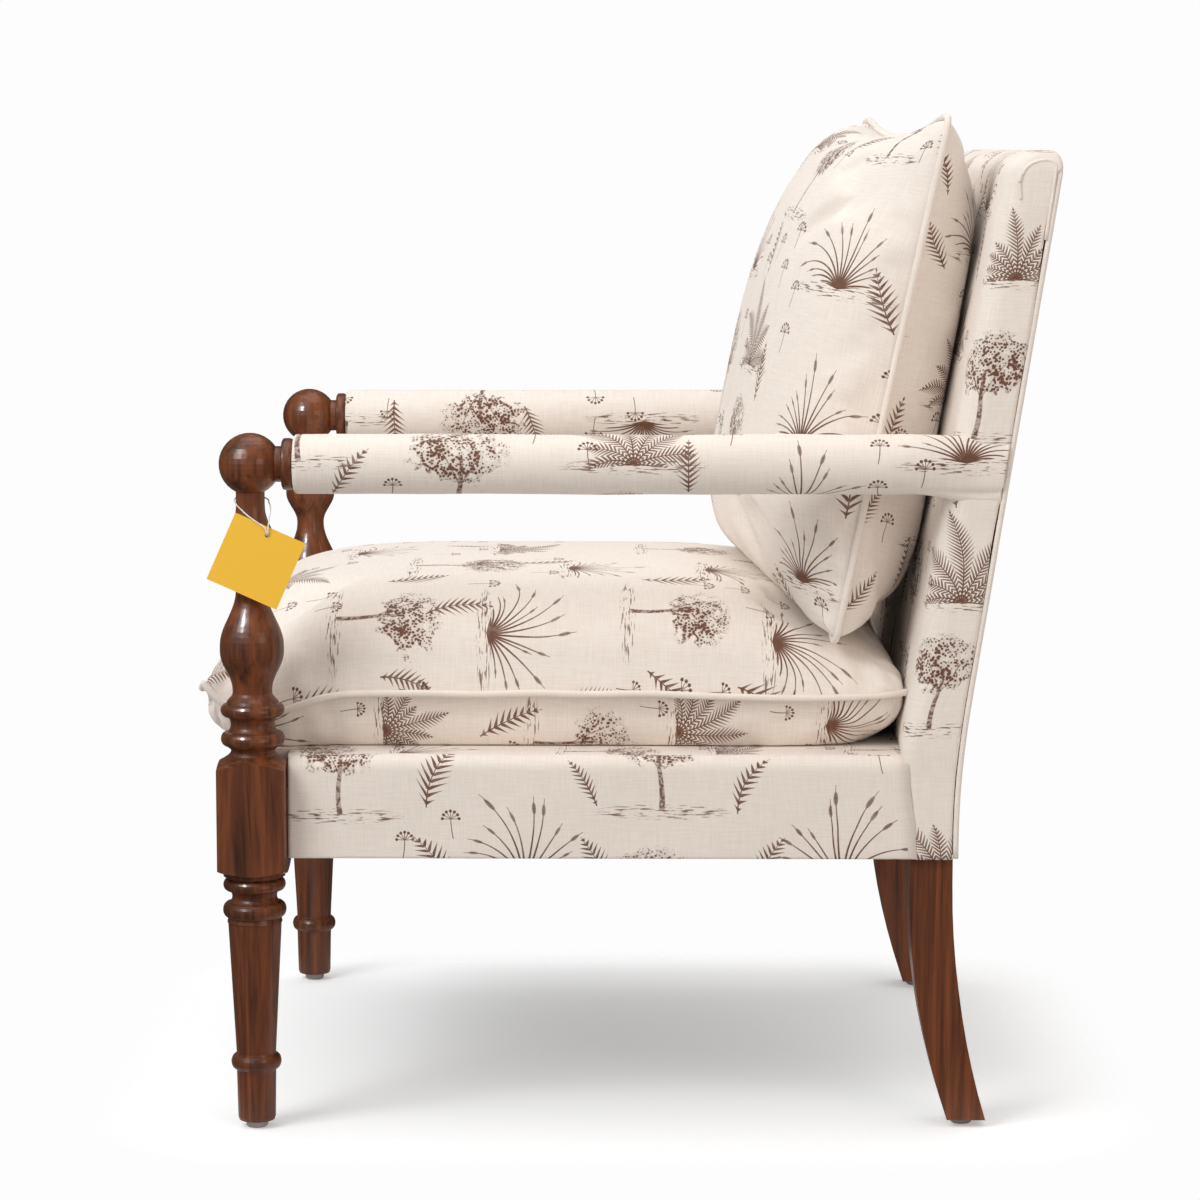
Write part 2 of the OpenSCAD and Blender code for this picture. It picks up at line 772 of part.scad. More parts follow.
module spring_clips() {
    color(steel_rgb)
        for (x = spring_xs, y = [spring_y1, spring_y2])
            translate([x, y, 0])
                box(-clip_half_x, -clip_half_y, rail_top, clip_half_x, clip_half_y, rail_top + clip_t);
}

// The seat's soft body, drawn in by d; its rear follows the front of the back, or runs past it by over
rear_levels = [for (z = frame_levels) if (z < deck_top + 60) z];
module seat_body(d, z1, over = 0) {
    hw = side_x - d;
    top = deck_top - d;
    r = band_round - d / 2;
    rear_stop = [for (z = rear_levels) [front_face(z) - fit + over, z]];
    intersection() {
        // Front view: rounded along both sides
        translate([0, seat_run + over, 0])
            rotate([90, 0, 0])
                linear_extrude(seat_run + over - front_y)
                    polygon(concat(
                        [[-hw, z1], [hw, z1]],
                        [for (i = [0:5]) let (a = 18 * i) [hw - r + r * cos(a), top - r + r * sin(a)]],
                        [for (i = [0:5]) let (a = 90 + 18 * i) [-hw + r + r * cos(a), top - r + r * sin(a)]]
                    ));
        // Side view: rounded along the front
        across(
            concat(
                [[front_y + d, z1], [front_face(band_bottom) - fit + over, z1]],
                rear_stop,
                [for (i = [0:5])
                    let (a = 90 + 18 * i)
                    [front_y + d + r + r * cos(a), top - r + r * sin(a)]]
            ),
            -side_x, side_x
        );
    }
}

// Clear of the post blocks
module post_notches(gap, z1) {
    both_sides()
        box(block_edge_x - gap, front_y - 20, z1, post_x + block_w, block_back_y + gap, deck_top + 20);
}

module spring_cloth() {
    front_lap = 14;
    rear_gap = 26;
    color(board_rgb)
        difference() {
            box(-side_rail_x1, front_rail_y2 - front_lap, cloth_z,
                side_rail_x1, back_rail_y1 - rear_gap, pad_z);
            post_notches(fit, cloth_z - 1);
        }
}

module deck_pad() {
    color(foam_rgb)
        difference() {
            seat_body(cover_t + 0.2, pad_z);
            post_notches(2 * fit, pad_z - 1);
        }
}

module seat_cover() {
    color(fabric_rgb)
        difference() {
            seat_body(0, band_bottom);
            seat_body(cover_t, band_bottom - 5, 10);
            post_notches(fit, band_bottom - 1);
        }
}

module dust_cover() {
    t = 1;
    color(cloth_rgb)
        difference() {
            box(-side_rail_x2, front_rail_y1, rail_bottom - t, side_rail_x2, stile_foot_y - 20, rail_bottom);
            post_notches(fit, band_bottom - 2);
        }
}

// Back frame and upholstery

back_dowel_zs = [top_rail_z1 + 11, top_rail_z2 - 11, lower_rail_z1 + 12, lower_rail_z2 - 12];
function back_dowel_y(z) = stile_front(z) + back_rail_t / 2 + 2;
web_t = 2;

// A slat between the stiles, its front face in line with theirs
module back_slat(z1, z2) {
    difference() {
        across(
            [
                [stile_front(z1), z1], [stile_front(z1) + back_rail_t + 4, z1],
                [stile_front(z2) + back_rail_t + 4, z2], [stile_front(z2), z2]
            ],
            -leg_x0, leg_x0
        );
        both_sides()
            for (z = back_dowel_zs)
                rod_x(dowel_r + bore_fit, back_dowel_y(z), z, leg_x0 - dowel_in, leg_x0 + 1);
    }
}

module back_top_rail() {
    color(frame_rgb) back_slat(top_rail_z1, top_rail_z2);
}

module back_lower_rail() {
    color(frame_rgb) back_slat(lower_rail_z1, lower_rail_z2);
}

module back_dowels() {
    half = dowel_in - 1;
    color(frame_rgb)
        both_sides()
            for (z = back_dowel_zs)
                rod_x(dowel_r, back_dowel_y(z), z, leg_x0 - half, leg_x0 + half);
}

// A strip that lies on the front of the stiles, from z1 to z2
module web_strip(x1, x2, z1, z2) {
    zs = concat([z1], [for (z = frame_levels) if (z > z1 + 1 && z < z2 - 1) z], [z2]);
    across(
        concat(
            [for (z = zs) [stile_front(z) - web_t - fit, z]],
            [for (i = [len(zs) - 1:-1:0]) [stile_front(zs[i]) - fit, zs[i]]]
        ),
        x1, x2
    );
}

module back_webbing() {
    web_w = 60;
    web_pitch = 85;
    color(cloth_rgb)
        for (i = [-2:2])
            web_strip(i * web_pitch - web_w / 2, i * web_pitch + web_w / 2, lower_rail_z1, top_rail_z2);
}

// The stiles, the rails and the webbing take their room out of the pad's rear
module back_frame_room() {
    levels = concat([band_bottom - 20], frame_levels, [back_top + 20]);
    across(
        concat(
            [for (z = levels) [stile_front(z) - web_t - 2 * fit, z]],
            [[rear_face(back_top) + 50, back_top + 20], [rear_face(back_top) + 50, band_bottom - 20]]
        ),
        -side_x - 1, side_x + 1
    );
}

module arm_slot(r) {
    slot_run = 90;
    both_sides() rod_y(r, post_x, arm_z, seat_run - slot_run, lap_y2);
}

module back_pad() {
    color(foam_rgb)
        difference() {
            loft(back_rings(cover_t + 2 * fit));
            back_frame_room();
            arm_slot(arm_core_r + fit);
            box(-side_x - 1, 0, 0, side_x + 1, 2 * seat_run, deck_top - 2);
        }
}

module back_cover() {
    outer = back_rings(0);
    inner = back_rings(cover_t);
    color(fabric_rgb)
        difference() {
            loft(concat([for (i = [len(inner) - 1:-1:0]) inner[i]], outer));
            arm_slot(arm_core_r + fit);
            // Open in front below the deck, where the seat rails come through
            box(-side_rail_x2 - fit, 0, 0, side_rail_x2 + fit, stile_foot_y + 20, deck_top - cover_t);
        }
}

// A panel that follows the rear face: its rear and front lie so far in from it; its top corners are round
module rear_panel(near, far, z1) {
    z2 = panel_top;
    r = welt_bend - welt_r - fit;
    zs = concat([z1], [for (z = frame_levels) if (z > z1 + 1 && z < z2 - 1) z], [z2]);
    intersection() {
        across(
            concat(
                [for (z = zs) [rear_face(z) - near, z]],
                [for (i = [len(zs) - 1:-1:0]) [rear_face(zs[i]) - far, zs[i]]]
            ),
            -panel_hw, panel_hw
        );
        translate([0, 2 * seat_run, 0])
            rotate([90, 0, 0])
                linear_extrude(2 * seat_run)
                    union() {
                        translate([-panel_hw, z1]) square([2 * panel_hw, z2 - r - z1]);
                        translate([r - panel_hw, z1]) square([2 * (panel_hw - r), z2 - z1]);
                        for (x = [r - panel_hw, panel_hw - r])
                            translate([x, z2 - r]) circle(r = r);
                    }
    }
}

module back_board() {
    color(board_rgb) rear_panel(outside_t, shell_t, band_bottom + 4);
}

module outside_back() {
    color(fabric_rgb) rear_panel(0.2, outside_t, band_bottom);
}

welt_x = side_x - welt_r;
welt_bend = 14;
welt_levels = [for (i = [0:13]) lerp(band_bottom + 1, welt_top - welt_bend, i / 13)];
function welt_point(x, z) = [x, rear_face(z) - welt_r, z];
back_welt_path = concat(
    [for (z = welt_levels) welt_point(welt_x, z)],
    [for (a = [18:18:72])
        welt_point(welt_x - welt_bend * (1 - cos(a)), welt_top - welt_bend * (1 - sin(a)))],
    [for (t = [1:-0.25:-1]) welt_point((welt_x - welt_bend) * t, welt_top)],
    [for (a = [72:-18:18])
        welt_point(-welt_x + welt_bend * (1 - cos(a)), welt_top - welt_bend * (1 - sin(a)))],
    [for (i = [13:-1:0]) welt_point(-welt_x, welt_levels[i])]
);

module back_welt() {
    color(piping_rgb) tube(back_welt_path, welt_r, 8, [0, 1, 0]);
}

// Loose cushions: two panels that meet in a piped seam

cushion_cols = 22;
cushion_rows = 20;
// From the edge of the panels to the middle of the piping
welt_out = welt_r + 0.5;
// Grid positions from -1 to 1, closer together towards the seam
function spread(i, n) = sin(90 * (2 * i / n - 1));
// Height of a panel, 0 at the seam and 1 in the middle: larger p is flatter, smaller k is fuller at the seam
function dome(u, v, pu, pv, k) =
    pow(max(0, 1 - pow(abs(u), pu)), k) * pow(max(0, 1 - pow(abs(v), pv)), k);

// Grid faces of two panels and the narrow wall between them
function panel_index(i, j, cols) = j * (cols + 1) + i;
function rim(cols, rows) = concat(
    [for (i = [0:cols - 1]) panel_index(i, 0, cols)],
    [for (j = [0:rows - 1]) panel_index(cols, j, cols)],
    [for (i = [cols:-1:1]) panel_index(i, rows, cols)],
    [for (j = [rows:-1:1]) panel_index(0, j, cols)]
);
function cushion_faces(cols, rows) =
    let (count = (cols + 1) * (rows + 1), edge = rim(cols, rows), n = len(edge))
    concat(
        [for (j = [0:rows - 1], i = [0:cols - 1])
            let (
                a = panel_index(i, j, cols), b = panel_index(i + 1, j, cols),
                c = panel_index(i + 1, j + 1, cols), d = panel_index(i, j + 1, cols)
            )
            each [
                [a, c, b], [a, d, c],
                [count + a, count + b, count + c], [count + a, count + c, count + d]
            ]],
        [for (k = [0:n - 1])
            let (lo = count + edge[k], lo2 = count + edge[(k + 1) % n], hi = edge[k], hi2 = edge[(k + 1) % n])
            each [[lo, hi2, lo2], [lo, hi, hi2]]]
    );
module cushion(upper, lower) {
    polyhedron(points = concat(upper, lower), faces = cushion_faces(cushion_cols, cushion_rows));
}

// Seat cushion

slide_clear = 0.4;
cushion_hw = post_x - vase_r - slide_clear - welt_out - welt_r;
cushion_y1 = -ear_reach + welt_out + welt_r;
cushion_y2 = front_face(deck_top + seam_rise) - 0.6 - welt_out - welt_r;
cushion_mid = (cushion_y1 + cushion_y2) / 2;
cushion_hd = (cushion_y2 - cushion_y1) / 2;
seam_z = deck_top + seam_rise;
ear_lift = 11;
seam_half = 0.8;

// Plan position of a cushion grid point, grown outwards by g
function seat_plan(u, v, g = 0) =
    [
        u * (cushion_hw + g - seat_draw * (1 - v * v)),
        cushion_mid + v * (cushion_hd + g - seat_draw_end * (1 - u * u))
    ];
function seat_seam(u, v) = seam_z + ear_lift * pow(abs(u * v), 6);
// The rear of the cushion is pressed down under the pillow
function rear_press(v) = 1 - 0.1 * pow(max(0, v - 0.35) / 0.65, 1.5);
function seat_upper(u, v) =
    seat_seam(u, v) + seam_half + seat_crown * dome(u, v, 4, 5, 0.4) * rear_press(v);
function seat_lower(u, v) =
    max(deck_top + fit, seat_seam(u, v) - seam_half - 1.6 * seam_rise * dome(u, v, 4, 4, 0.32));

module seat_cushion() {
    color(fabric_rgb)
        cushion(
            [for (j = [0:cushion_rows], i = [0:cushion_cols])
                let (u = spread(i, cushion_cols), v = spread(j, cushion_rows))
                concat(seat_plan(u, v), [seat_upper(u, v)])],
            [for (j = [0:cushion_rows], i = [0:cushion_cols])
                let (u = spread(i, cushion_cols), v = spread(j, cushion_rows))
                concat(seat_plan(u, v), [seat_lower(u, v)])]
        );
}

// Positions round a seam, in grid terms
seam_steps = 16;
function side_steps() = [for (i = [0:seam_steps - 1]) spread(i + 0.5, seam_steps)];
seam_loop = concat(
    [for (t = side_steps()) [t, -1]], [for (t = side_steps()) [1, t]],
    [for (t = side_steps()) [-t, 1]], [for (t = side_steps()) [-1, -t]]
);

module seat_cushion_welt() {
    color(piping_rgb)
        tube(
            [for (p = seam_loop) concat(seat_plan(p[0], p[1], welt_out), [seat_seam(p[0], p[1])])],
            welt_r, 8, [0, 0, 1], true
        );
}

// Height of the seat cushion's top at a plan position
function cushion_top(x, y) =
    let (
        v0 = (y - cushion_mid) / cushion_hd,
        u = x / (cushion_hw - seat_draw * (1 - v0 * v0)),
        v = (y - cushion_mid) / (cushion_hd - seat_draw_end * (1 - u * u))
    )
    abs(u) < 1 && abs(v) < 1 ? seat_upper(u, v) : 0;
// The same, and no lower than its surroundings at distance r across the chair
function cushion_top_near(x, y, r) = max(cushion_top(x, y), cushion_top(x - r, y), cushion_top(x + r, y));

// Back pillow

pillow_draw_top = 26;
pillow_draw_low = 40;
pillow_draw_side = 12;
pillow_rest = 0.6;
pillow_axis = [
    [cos(pillow_turn), sin(pillow_turn), 0],
    [-sin(pillow_turn) * sin(pillow_lean), cos(pillow_turn) * sin(pillow_lean), cos(pillow_lean)],
    [sin(pillow_turn) * cos(pillow_lean), -cos(pillow_turn) * cos(pillow_lean), sin(pillow_lean)]
];
pillow_mid = [0, front_face(deck_top + 340) - 79, deck_top + 340];
pillow_hw = pillow_w / 2;
pillow_hh = pillow_h / 2;

// A point of the pillow: grid position u, v, distance n in front of the seam, grown by g
function pillow_point(u, v, n, g = 0) =
    let (
        draw = (v > 0 ? pillow_draw_top : pillow_draw_low) * (1 - u * u) * v * v,
        a = u * (pillow_hw + g - pillow_draw_side * (1 - v * v)),
        b = v * (pillow_hh + g - draw)
    )
    pillow_mid + a * pillow_axis[0] + b * pillow_axis[1] + n * pillow_axis[2];

// Kept in front of the back, and above the seat cushion by lift
function settled(p, lift) =
    let (
        y = min(p[1], front_face(min(p[2], back_top - top_r)) - back_crown - pillow_rest),
        z = max(p[2], cushion_top_near(p[0], y, welt_r) + lift)
    )
    [p[0], y, z];
// Towards the lower seam the panels make room for the piping under them
function pillow_lift(v) = pillow_rest + (welt_out + welt_r) * pow(max(0, -v), 8);

module back_pillow() {
    color(fabric_rgb)
        cushion(
            [for (j = [0:cushion_rows], i = [0:cushion_cols])
                let (u = spread(i, cushion_cols), v = spread(j, cushion_rows))
                settled(
                    pillow_point(u, v, seam_half + pillow_front * dome(u, v, 3, v > 0 ? 2.3 : 4.4, 0.5)),
                    pillow_lift(v)
                )],
            [for (j = [0:cushion_rows], i = [0:cushion_cols])
                let (u = spread(i, cushion_cols), v = spread(j, cushion_rows))
                settled(pillow_point(u, v, -seam_half - pillow_rear * dome(u, v, 3, 3, 0.5)), pillow_lift(v))]
        );
}

module back_pillow_welt() {
    color(piping_rgb)
        tube(
            [for (p = seam_loop) settled(pillow_point(p[0], p[1], 0, welt_out), pillow_rest + welt_r)],
            welt_r, 8, pillow_axis[2], true
        );
}

// Hang tag and its string

tag_t = 0.8;
tag_x = post_x + upper_vase_r + 2;
tag_hole = [18, 554];
tag_hole_r = 2.4;
tag_hole_drop = 7;
tag_tilt = -24;
string_d = 1.3;
// Route of the string: out of the knot, through the hole, up and round the neck, and back into the knot.
// Each point is [x from the post axis, y, z]
string_points = [
    [24.5, 18.8, 554.2], [27.5, 18.8, 554.2], [30, 18.7, 555.8], [30.3, 18.7, 559], [29.8, 19, 562.6],
    [26.5, 19.6, 568.5], [18.5, 20, 574.6], [9.5, 19, 579], [2, 17.2, 581], [-4.5, 16, 583],
    [-10.4, 10.8, 585], [-13.6, 4.2, 586.5], [-13.6, -4.2, 587], [-10.1, -10.1, 586.2], [-4, -13.8, 584.6],
    [3.5, -14, 582.6], [10.5, -11.2, 579.4], [17, -6.6, 576], [24, -1, 572], [29, 4, 569],
    [30, 10, 565], [30.4, 15.5, 561], [30.4, 17.2, 557.6], [29.8, 17.2, 555.2],
    [27.5, 17.2, 553.8], [24.5, 17.2, 553.8]
];
string_route = smooth([for (p = string_points) [post_x + p[0], p[1], p[2]]], 2);
knot_r = 2.8;
knot_x = tag_x - knot_r - 0.1;

module hang_tag() {
    color(tag_rgb)
        translate([tag_x, tag_hole[0], tag_hole[1]])
            rotate([tag_tilt, 0, 0])
                difference() {
                    box(0, -tag_w / 2, tag_hole_drop - tag_h, tag_t, tag_w / 2, tag_hole_drop);
                    rod_x(tag_hole_r, 0, 0, -1, tag_t + 1);
                }
}

module tag_string() {
    color(string_rgb) tube(string_route, string_d / 2, 8, [0, 1, 1]);
}

// The knot behind the tag that holds both ends
module tag_knot() {
    color(string_rgb)
        difference() {
            translate([knot_x, tag_hole[0], tag_hole[1]]) sphere(r = knot_r);
            for (i = [0, len(string_points) - 1])
                rod_x(string_d / 2 + bore_fit, string_points[i][1], string_points[i][2],
                    post_x + string_points[i][0] - bore_fit, tag_x);
        }
}

placed() front_post(1);  // front_post_left
placed() front_post(-1);  // front_post_right
placed() rear_leg(1);  // rear_leg_left
placed() rear_leg(-1);  // rear_leg_right
placed() arm_collar(1);  // arm_collar_left
placed() arm_collar(-1);  // arm_collar_right
placed() arm_rail(1);  // arm_rail_left
placed() arm_rail(-1);  // arm_rail_right
placed() arm_pad(1);  // arm_pad_left
placed() arm_pad(-1);  // arm_pad_right
placed() arm_cover(1);  // arm_cover_left
placed() arm_cover(-1);  // arm_cover_right
placed() arm_screws();
placed() front_seat_rail();
placed() back_seat_rail();
placed() side_rail(1);  // side_rail_left
placed() side_rail(-1);  // side_rail_right
placed() rail_dowels();
placed() corner_blocks();
placed() corner_screws();
placed() seat_springs();
placed() spring_clips();
placed() spring_cloth();
placed() deck_pad();
placed() seat_cover();
placed() dust_cover();
placed() back_top_rail();
placed() back_lower_rail();
placed() back_dowels();
placed() back_webbing();
placed() back_pad();
placed() back_cover();
placed() back_board();
placed() outside_back();
placed() back_welt();
placed() seat_cushion();
placed() seat_cushion_welt();
placed() back_pillow();
placed() back_pillow_welt();
placed() glides();
placed() glide_nails();
placed() hang_tag();
placed() tag_string();
placed() tag_knot();
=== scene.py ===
"""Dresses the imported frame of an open-arm accent chair in printed linen and stained walnut.

Every length is in metres, in the frame's own axes: X towards the sitter's left, Y towards the
rear and Z up. Heights and places come from the frame's boxes; the shapes of the soft parts are
functions of two parameters, worked out as whole arrays.
"""

import json
import logging
import math
from abc import ABC, abstractmethod
from dataclasses import dataclass
from enum import Enum
from typing import Optional, Sequence, Union

import bmesh
import bpy
import numpy as np
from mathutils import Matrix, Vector

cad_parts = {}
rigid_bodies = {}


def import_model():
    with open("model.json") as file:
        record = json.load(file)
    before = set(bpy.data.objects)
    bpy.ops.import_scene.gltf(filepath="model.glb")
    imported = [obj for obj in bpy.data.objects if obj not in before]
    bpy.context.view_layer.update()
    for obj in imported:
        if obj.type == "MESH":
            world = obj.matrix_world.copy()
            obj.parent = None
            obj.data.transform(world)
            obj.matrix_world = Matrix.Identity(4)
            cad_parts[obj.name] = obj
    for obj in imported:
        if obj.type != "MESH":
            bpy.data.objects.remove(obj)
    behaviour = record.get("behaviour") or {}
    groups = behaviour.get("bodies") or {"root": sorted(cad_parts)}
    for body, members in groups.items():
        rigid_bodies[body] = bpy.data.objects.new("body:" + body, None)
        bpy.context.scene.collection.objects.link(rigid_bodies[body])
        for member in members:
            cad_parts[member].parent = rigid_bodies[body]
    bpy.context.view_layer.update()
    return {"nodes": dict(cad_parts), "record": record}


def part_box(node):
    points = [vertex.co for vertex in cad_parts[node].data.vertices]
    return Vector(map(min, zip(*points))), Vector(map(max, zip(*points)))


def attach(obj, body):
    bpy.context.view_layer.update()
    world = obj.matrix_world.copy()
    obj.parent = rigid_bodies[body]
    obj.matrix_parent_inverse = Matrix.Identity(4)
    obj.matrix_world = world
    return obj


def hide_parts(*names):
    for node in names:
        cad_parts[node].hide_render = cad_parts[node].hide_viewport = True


LOG = logging.getLogger("accent_chair")
MM = 0.001
CLOTH_UV = "cloth"

Array = np.ndarray
Number = Union[float, Array]
Faces = tuple[Array, Array]
Object = bpy.types.Object


class Side(Enum):
    """The two sides of the chair, with the sign of X."""

    LEFT = 1
    RIGHT = -1

    def node(self, stem: str) -> str:
        """Name of this side's node of a pair."""
        return f"{stem}_{self.name.lower()}"


class Grain(Enum):
    """The way in which a piece of timber's fibres run."""

    ALONG_X = (0.05, 1.0, 1.0)
    ALONG_Y = (1.0, 0.05, 1.0)
    ALONG_Z = (1.0, 1.0, 0.05)


class Body(Enum):
    """The bodies of the chair that move by themselves."""

    CHAIR = "chair"
    CUSHION = "loose_cushion"
    PILLOW = "loose_pillow"
    TAG = "tag"


# Arithmetic on arrays


def ease(t: Number) -> Array:
    """Half a cosine wave from 0 at t = 0 to 1 at t = 1, level at both ends."""
    return (1 - np.cos(np.pi * np.clip(t, 0, 1))) / 2


def spread(count: int) -> Array:
    """Count positions from -1 to 1 that crowd towards both ends, as the sine of an even angle."""
    return np.sin(np.linspace(-np.pi / 2, np.pi / 2, count))


def dome(u: Array, v: Array, power_u: float, power_v: Number, fullness: float) -> Array:
    """Height of a stuffed panel.

    It is (1 - |u|^power_u)^fullness times the same in v: 0 along the seam, 1 in the middle.

    Args:
        u: Position across, from -1 to 1.
        v: Position along, from -1 to 1.
        power_u: Flatness across.
        power_v: Flatness along.
        fullness: Smaller is fuller at the seam.

    Returns:
        The height as a share of the crown.
    """
    across = np.maximum(0, 1 - np.abs(u) ** power_u)
    along = np.maximum(0, 1 - np.abs(v) ** power_v)
    return across**fullness * along**fullness


def quiet_waves(points: Array, wavelength: float, seed: int) -> Array:
    """Smooth unevenness of hand-fitted cloth: the sum of nine sine waves in seeded directions.

    Args:
        points: Places, in the last axis.
        wavelength: Mean length of a wave.
        seed: Seed of the directions and phases.

    Returns:
        A value between about -1 and 1 for each place.
    """
    count = 9
    draw = np.random.default_rng(seed)
    ways = draw.normal(size=(count, 3))
    ways /= np.linalg.norm(ways, axis=1, keepdims=True)
    rates = 2 * np.pi / (wavelength * draw.uniform(0.7, 1.5, count))
    phases = draw.uniform(0, 2 * np.pi, count)
    angles = points @ (ways * rates[:, None]).T + phases
    return np.sin(angles).sum(axis=-1) / math.sqrt(count)


def joined(*parts: Number) -> Array:
    """Coordinates side by side in a new last axis, spread to one shape first."""
    return np.stack(np.broadcast_arrays(*parts), axis=-1)


def looped(points: Array, axis: int = 0) -> Array:
    """Points with the first once more at the end of an axis."""
    return np.concatenate([points, np.take(points, [0], axis=axis)], axis=axis)


def run_length(path: Array, axis: int = 0) -> Array:
    """Length along a path up to each of its points, or so along an axis of a grid."""
    steps = np.linalg.norm(np.diff(path, axis=axis), axis=-1)
    start = np.zeros_like(np.take(steps, [0], axis=axis))
    return np.concatenate([start, np.cumsum(steps, axis=axis)], axis=axis)


def nearest(points: Array, line: Array) -> tuple[Array, Array]:
    """Distance from each point to the nearest point of a line, and that point's number."""
    far = np.linalg.norm(points[:, None] - line[None], axis=-1)
    number = far.argmin(axis=1)
    return far[np.arange(len(points)), number], number


def laid_out(points: Array) -> Array:
    """Flat coordinates of a grid of points: lengths along its rows and columns from the middle."""
    flat = []
    for axis in (1, 0):
        run = run_length(points, axis)
        flat.append(run - np.take(run, [run.shape[axis] // 2], axis=axis))
    return joined(*flat)


def smoothed(points: Array, steps: int) -> Array:
    """A Catmull-Rom curve through points, with so many steps from each to the next."""
    before = np.vstack([2 * points[0] - points[1], points[:-1]])
    after = np.vstack([points[2:], 2 * points[-1] - points[-2]])
    t = (np.arange(steps) / steps)[None, :, None]
    a, b = points[:-1, None], points[1:, None]
    c, d = before[:-1, None], after[:, None]
    curve = 0.5 * (
        2 * a
        + (b - c) * t
        + (2 * c - 5 * a + 4 * b - d) * t**2
        + (3 * a - 3 * b + d - c) * t**3
    )
    return np.vstack([curve.reshape(-1, 3), points[-1:]])


# Meshes


def grid_faces(rows: int, cols: int, ring: bool) -> tuple[Array, Array]:
    """Corners of a grid's quads.

    Args:
        rows: Rows of points.
        cols: Points in a row.
        ring: Whether each row closes on itself.

    Returns:
        The corners as point numbers, and as row and column numbers that run on over the joint.
    """
    spans = cols if ring else cols - 1
    r, c = np.meshgrid(np.arange(rows - 1), np.arange(spans), indexing="ij")
    corner_r = joined(r, r, r + 1, r + 1).reshape(-1, 4)
    corner_c = joined(c, c + 1, c + 1, c).reshape(-1, 4)
    return corner_r * cols + corner_c % cols, joined(corner_r, corner_c)


@dataclass
class Sheet:
    """A grid of points with a flat map of the cloth that covers it.

    Attributes:
        points: Rows by columns by 3.
        cloth: The cloth's own coordinates in metres; a ring has one more column of them.
        ring: Whether each row closes on itself.
        capped: Whether the first and the last row are closed over.
        open_end: Whether the last row stays open even so, to meet another sheet.
        cap_from: Column from which the cloth runs on level over the caps; it gathers in their
            middle without one.
    """

    points: Array
    cloth: Array
    ring: bool = False
    capped: bool = False
    open_end: bool = False
    cap_from: Optional[int] = None

    def parts(self) -> tuple[Array, list[Faces]]:
        """Vertices, and groups of faces with as many corners each, with their cloth."""
        rows, cols = self.points.shape[:2]
        faces, corners = grid_faces(rows, cols, self.ring)
        vertices = self.points.reshape(-1, 3)
        groups = [(faces, self.cloth[corners[..., 0], corners[..., 1]])]
        ends = [0] if self.open_end else [0, rows - 1]
        for row in ends if self.capped else []:
            turn = joined(np.arange(1, cols + 1), np.arange(cols))
            if row:
                turn = turn[:, ::-1]
            rim = self.rim(row)
            hub = np.full((cols, 1), len(vertices))
            middle = np.broadcast_to(rim.mean(axis=0), (cols, 1, 2))
            fan = np.hstack([row * cols + turn % cols, hub])
            groups.append((fan, np.hstack([rim[turn], middle])))
            vertices = np.vstack([vertices, self.points[row].mean(axis=0)])
        return vertices, groups

    def rim(self, row: int) -> Array:
        """Cloth coordinates round a capped row, level ones where the cloth runs on over it."""
        if self.cap_from is None:
            return self.cloth[row]
        level = looped(self.points[row])[:, :2]
        run = level - level[self.cap_from]
        return self.cloth[row, self.cap_from] + run * (1, 1 if row else -1)


def make_piece(name: str, sheets: Sequence[Sheet], merge: float = 0.0) -> Object:
    """Makes one smooth mesh of several sheets and turns its faces outwards.

    Args:
        name: Name of the new object.
        sheets: The grids that it is made of.
        merge: Distance within which points are joined, or 0.

    Returns:
        The object, in the scene.
    """
    vertices = np.empty((0, 3))
    groups: list[Faces] = []
    for sheet in sheets:
        more, parts = sheet.parts()
        groups += [(faces + len(vertices), cloth) for faces, cloth in parts]
        vertices = np.vstack([vertices, more])
    corners = [face for faces, _ in groups for face in faces.tolist()]
    mesh = bpy.data.meshes.new(name)
    mesh.from_pydata(vertices.tolist(), [], corners)
    layer = mesh.uv_layers.new(name=CLOTH_UV)
    flat = np.concatenate([cloth.ravel() for _, cloth in groups])
    layer.data.foreach_set("uv", flat.astype(np.float32))
    shape = bmesh.new()
    shape.from_mesh(mesh)
    if merge:
        bmesh.ops.remove_doubles(shape, verts=shape.verts, dist=merge)
    bmesh.ops.recalc_face_normals(shape, faces=shape.faces)
    shape.to_mesh(mesh)
    shape.free()
    mesh.polygons.foreach_set("use_smooth", np.ones(len(mesh.polygons), bool))
    piece = bpy.data.objects.new(name, mesh)
    bpy.context.scene.collection.objects.link(piece)
    return piece


def tube_sheet(
    path: Array, radius: float, sides: int, up: Sequence[float], closed: bool = False
) -> Sheet:
    """A round tube along a path.

    A point lies at path + radius times (cos a times the sideways direction + sin a times the
    direction square to it), where the sideways direction is square to the path and to up.

    Args:
        path: Points of its middle line.
        radius: Its radius.
        sides: Points round it.
        up: A direction that the path never follows.
        closed: Whether the path joins its own start.

    Returns:
        The tube's grid.
    """
    if closed:
        around = np.vstack([path[-1:], looped(path)])
        way = around[2:] - around[:-2]
    else:
        way = np.gradient(path, axis=0)
    way /= np.linalg.norm(way, axis=1, keepdims=True)
    sideways = np.cross(way, np.array(up, float))
    sideways /= np.linalg.norm(sideways, axis=1, keepdims=True)
    square = np.cross(sideways, way)
    if closed:
        path, sideways, square = looped(path), looped(sideways), looped(square)
    angle = np.linspace(0, 2 * np.pi, sides, endpoint=False)[None, :, None]
    ring = np.cos(angle) * sideways[:, None] + np.sin(angle) * square[:, None]
    turn = np.linspace(0, 2 * np.pi, sides + 1) * radius
    cloth = joined(run_length(path)[:, None], turn)
    return Sheet(path[:, None] + radius * ring, cloth, ring=True, capped=not closed)


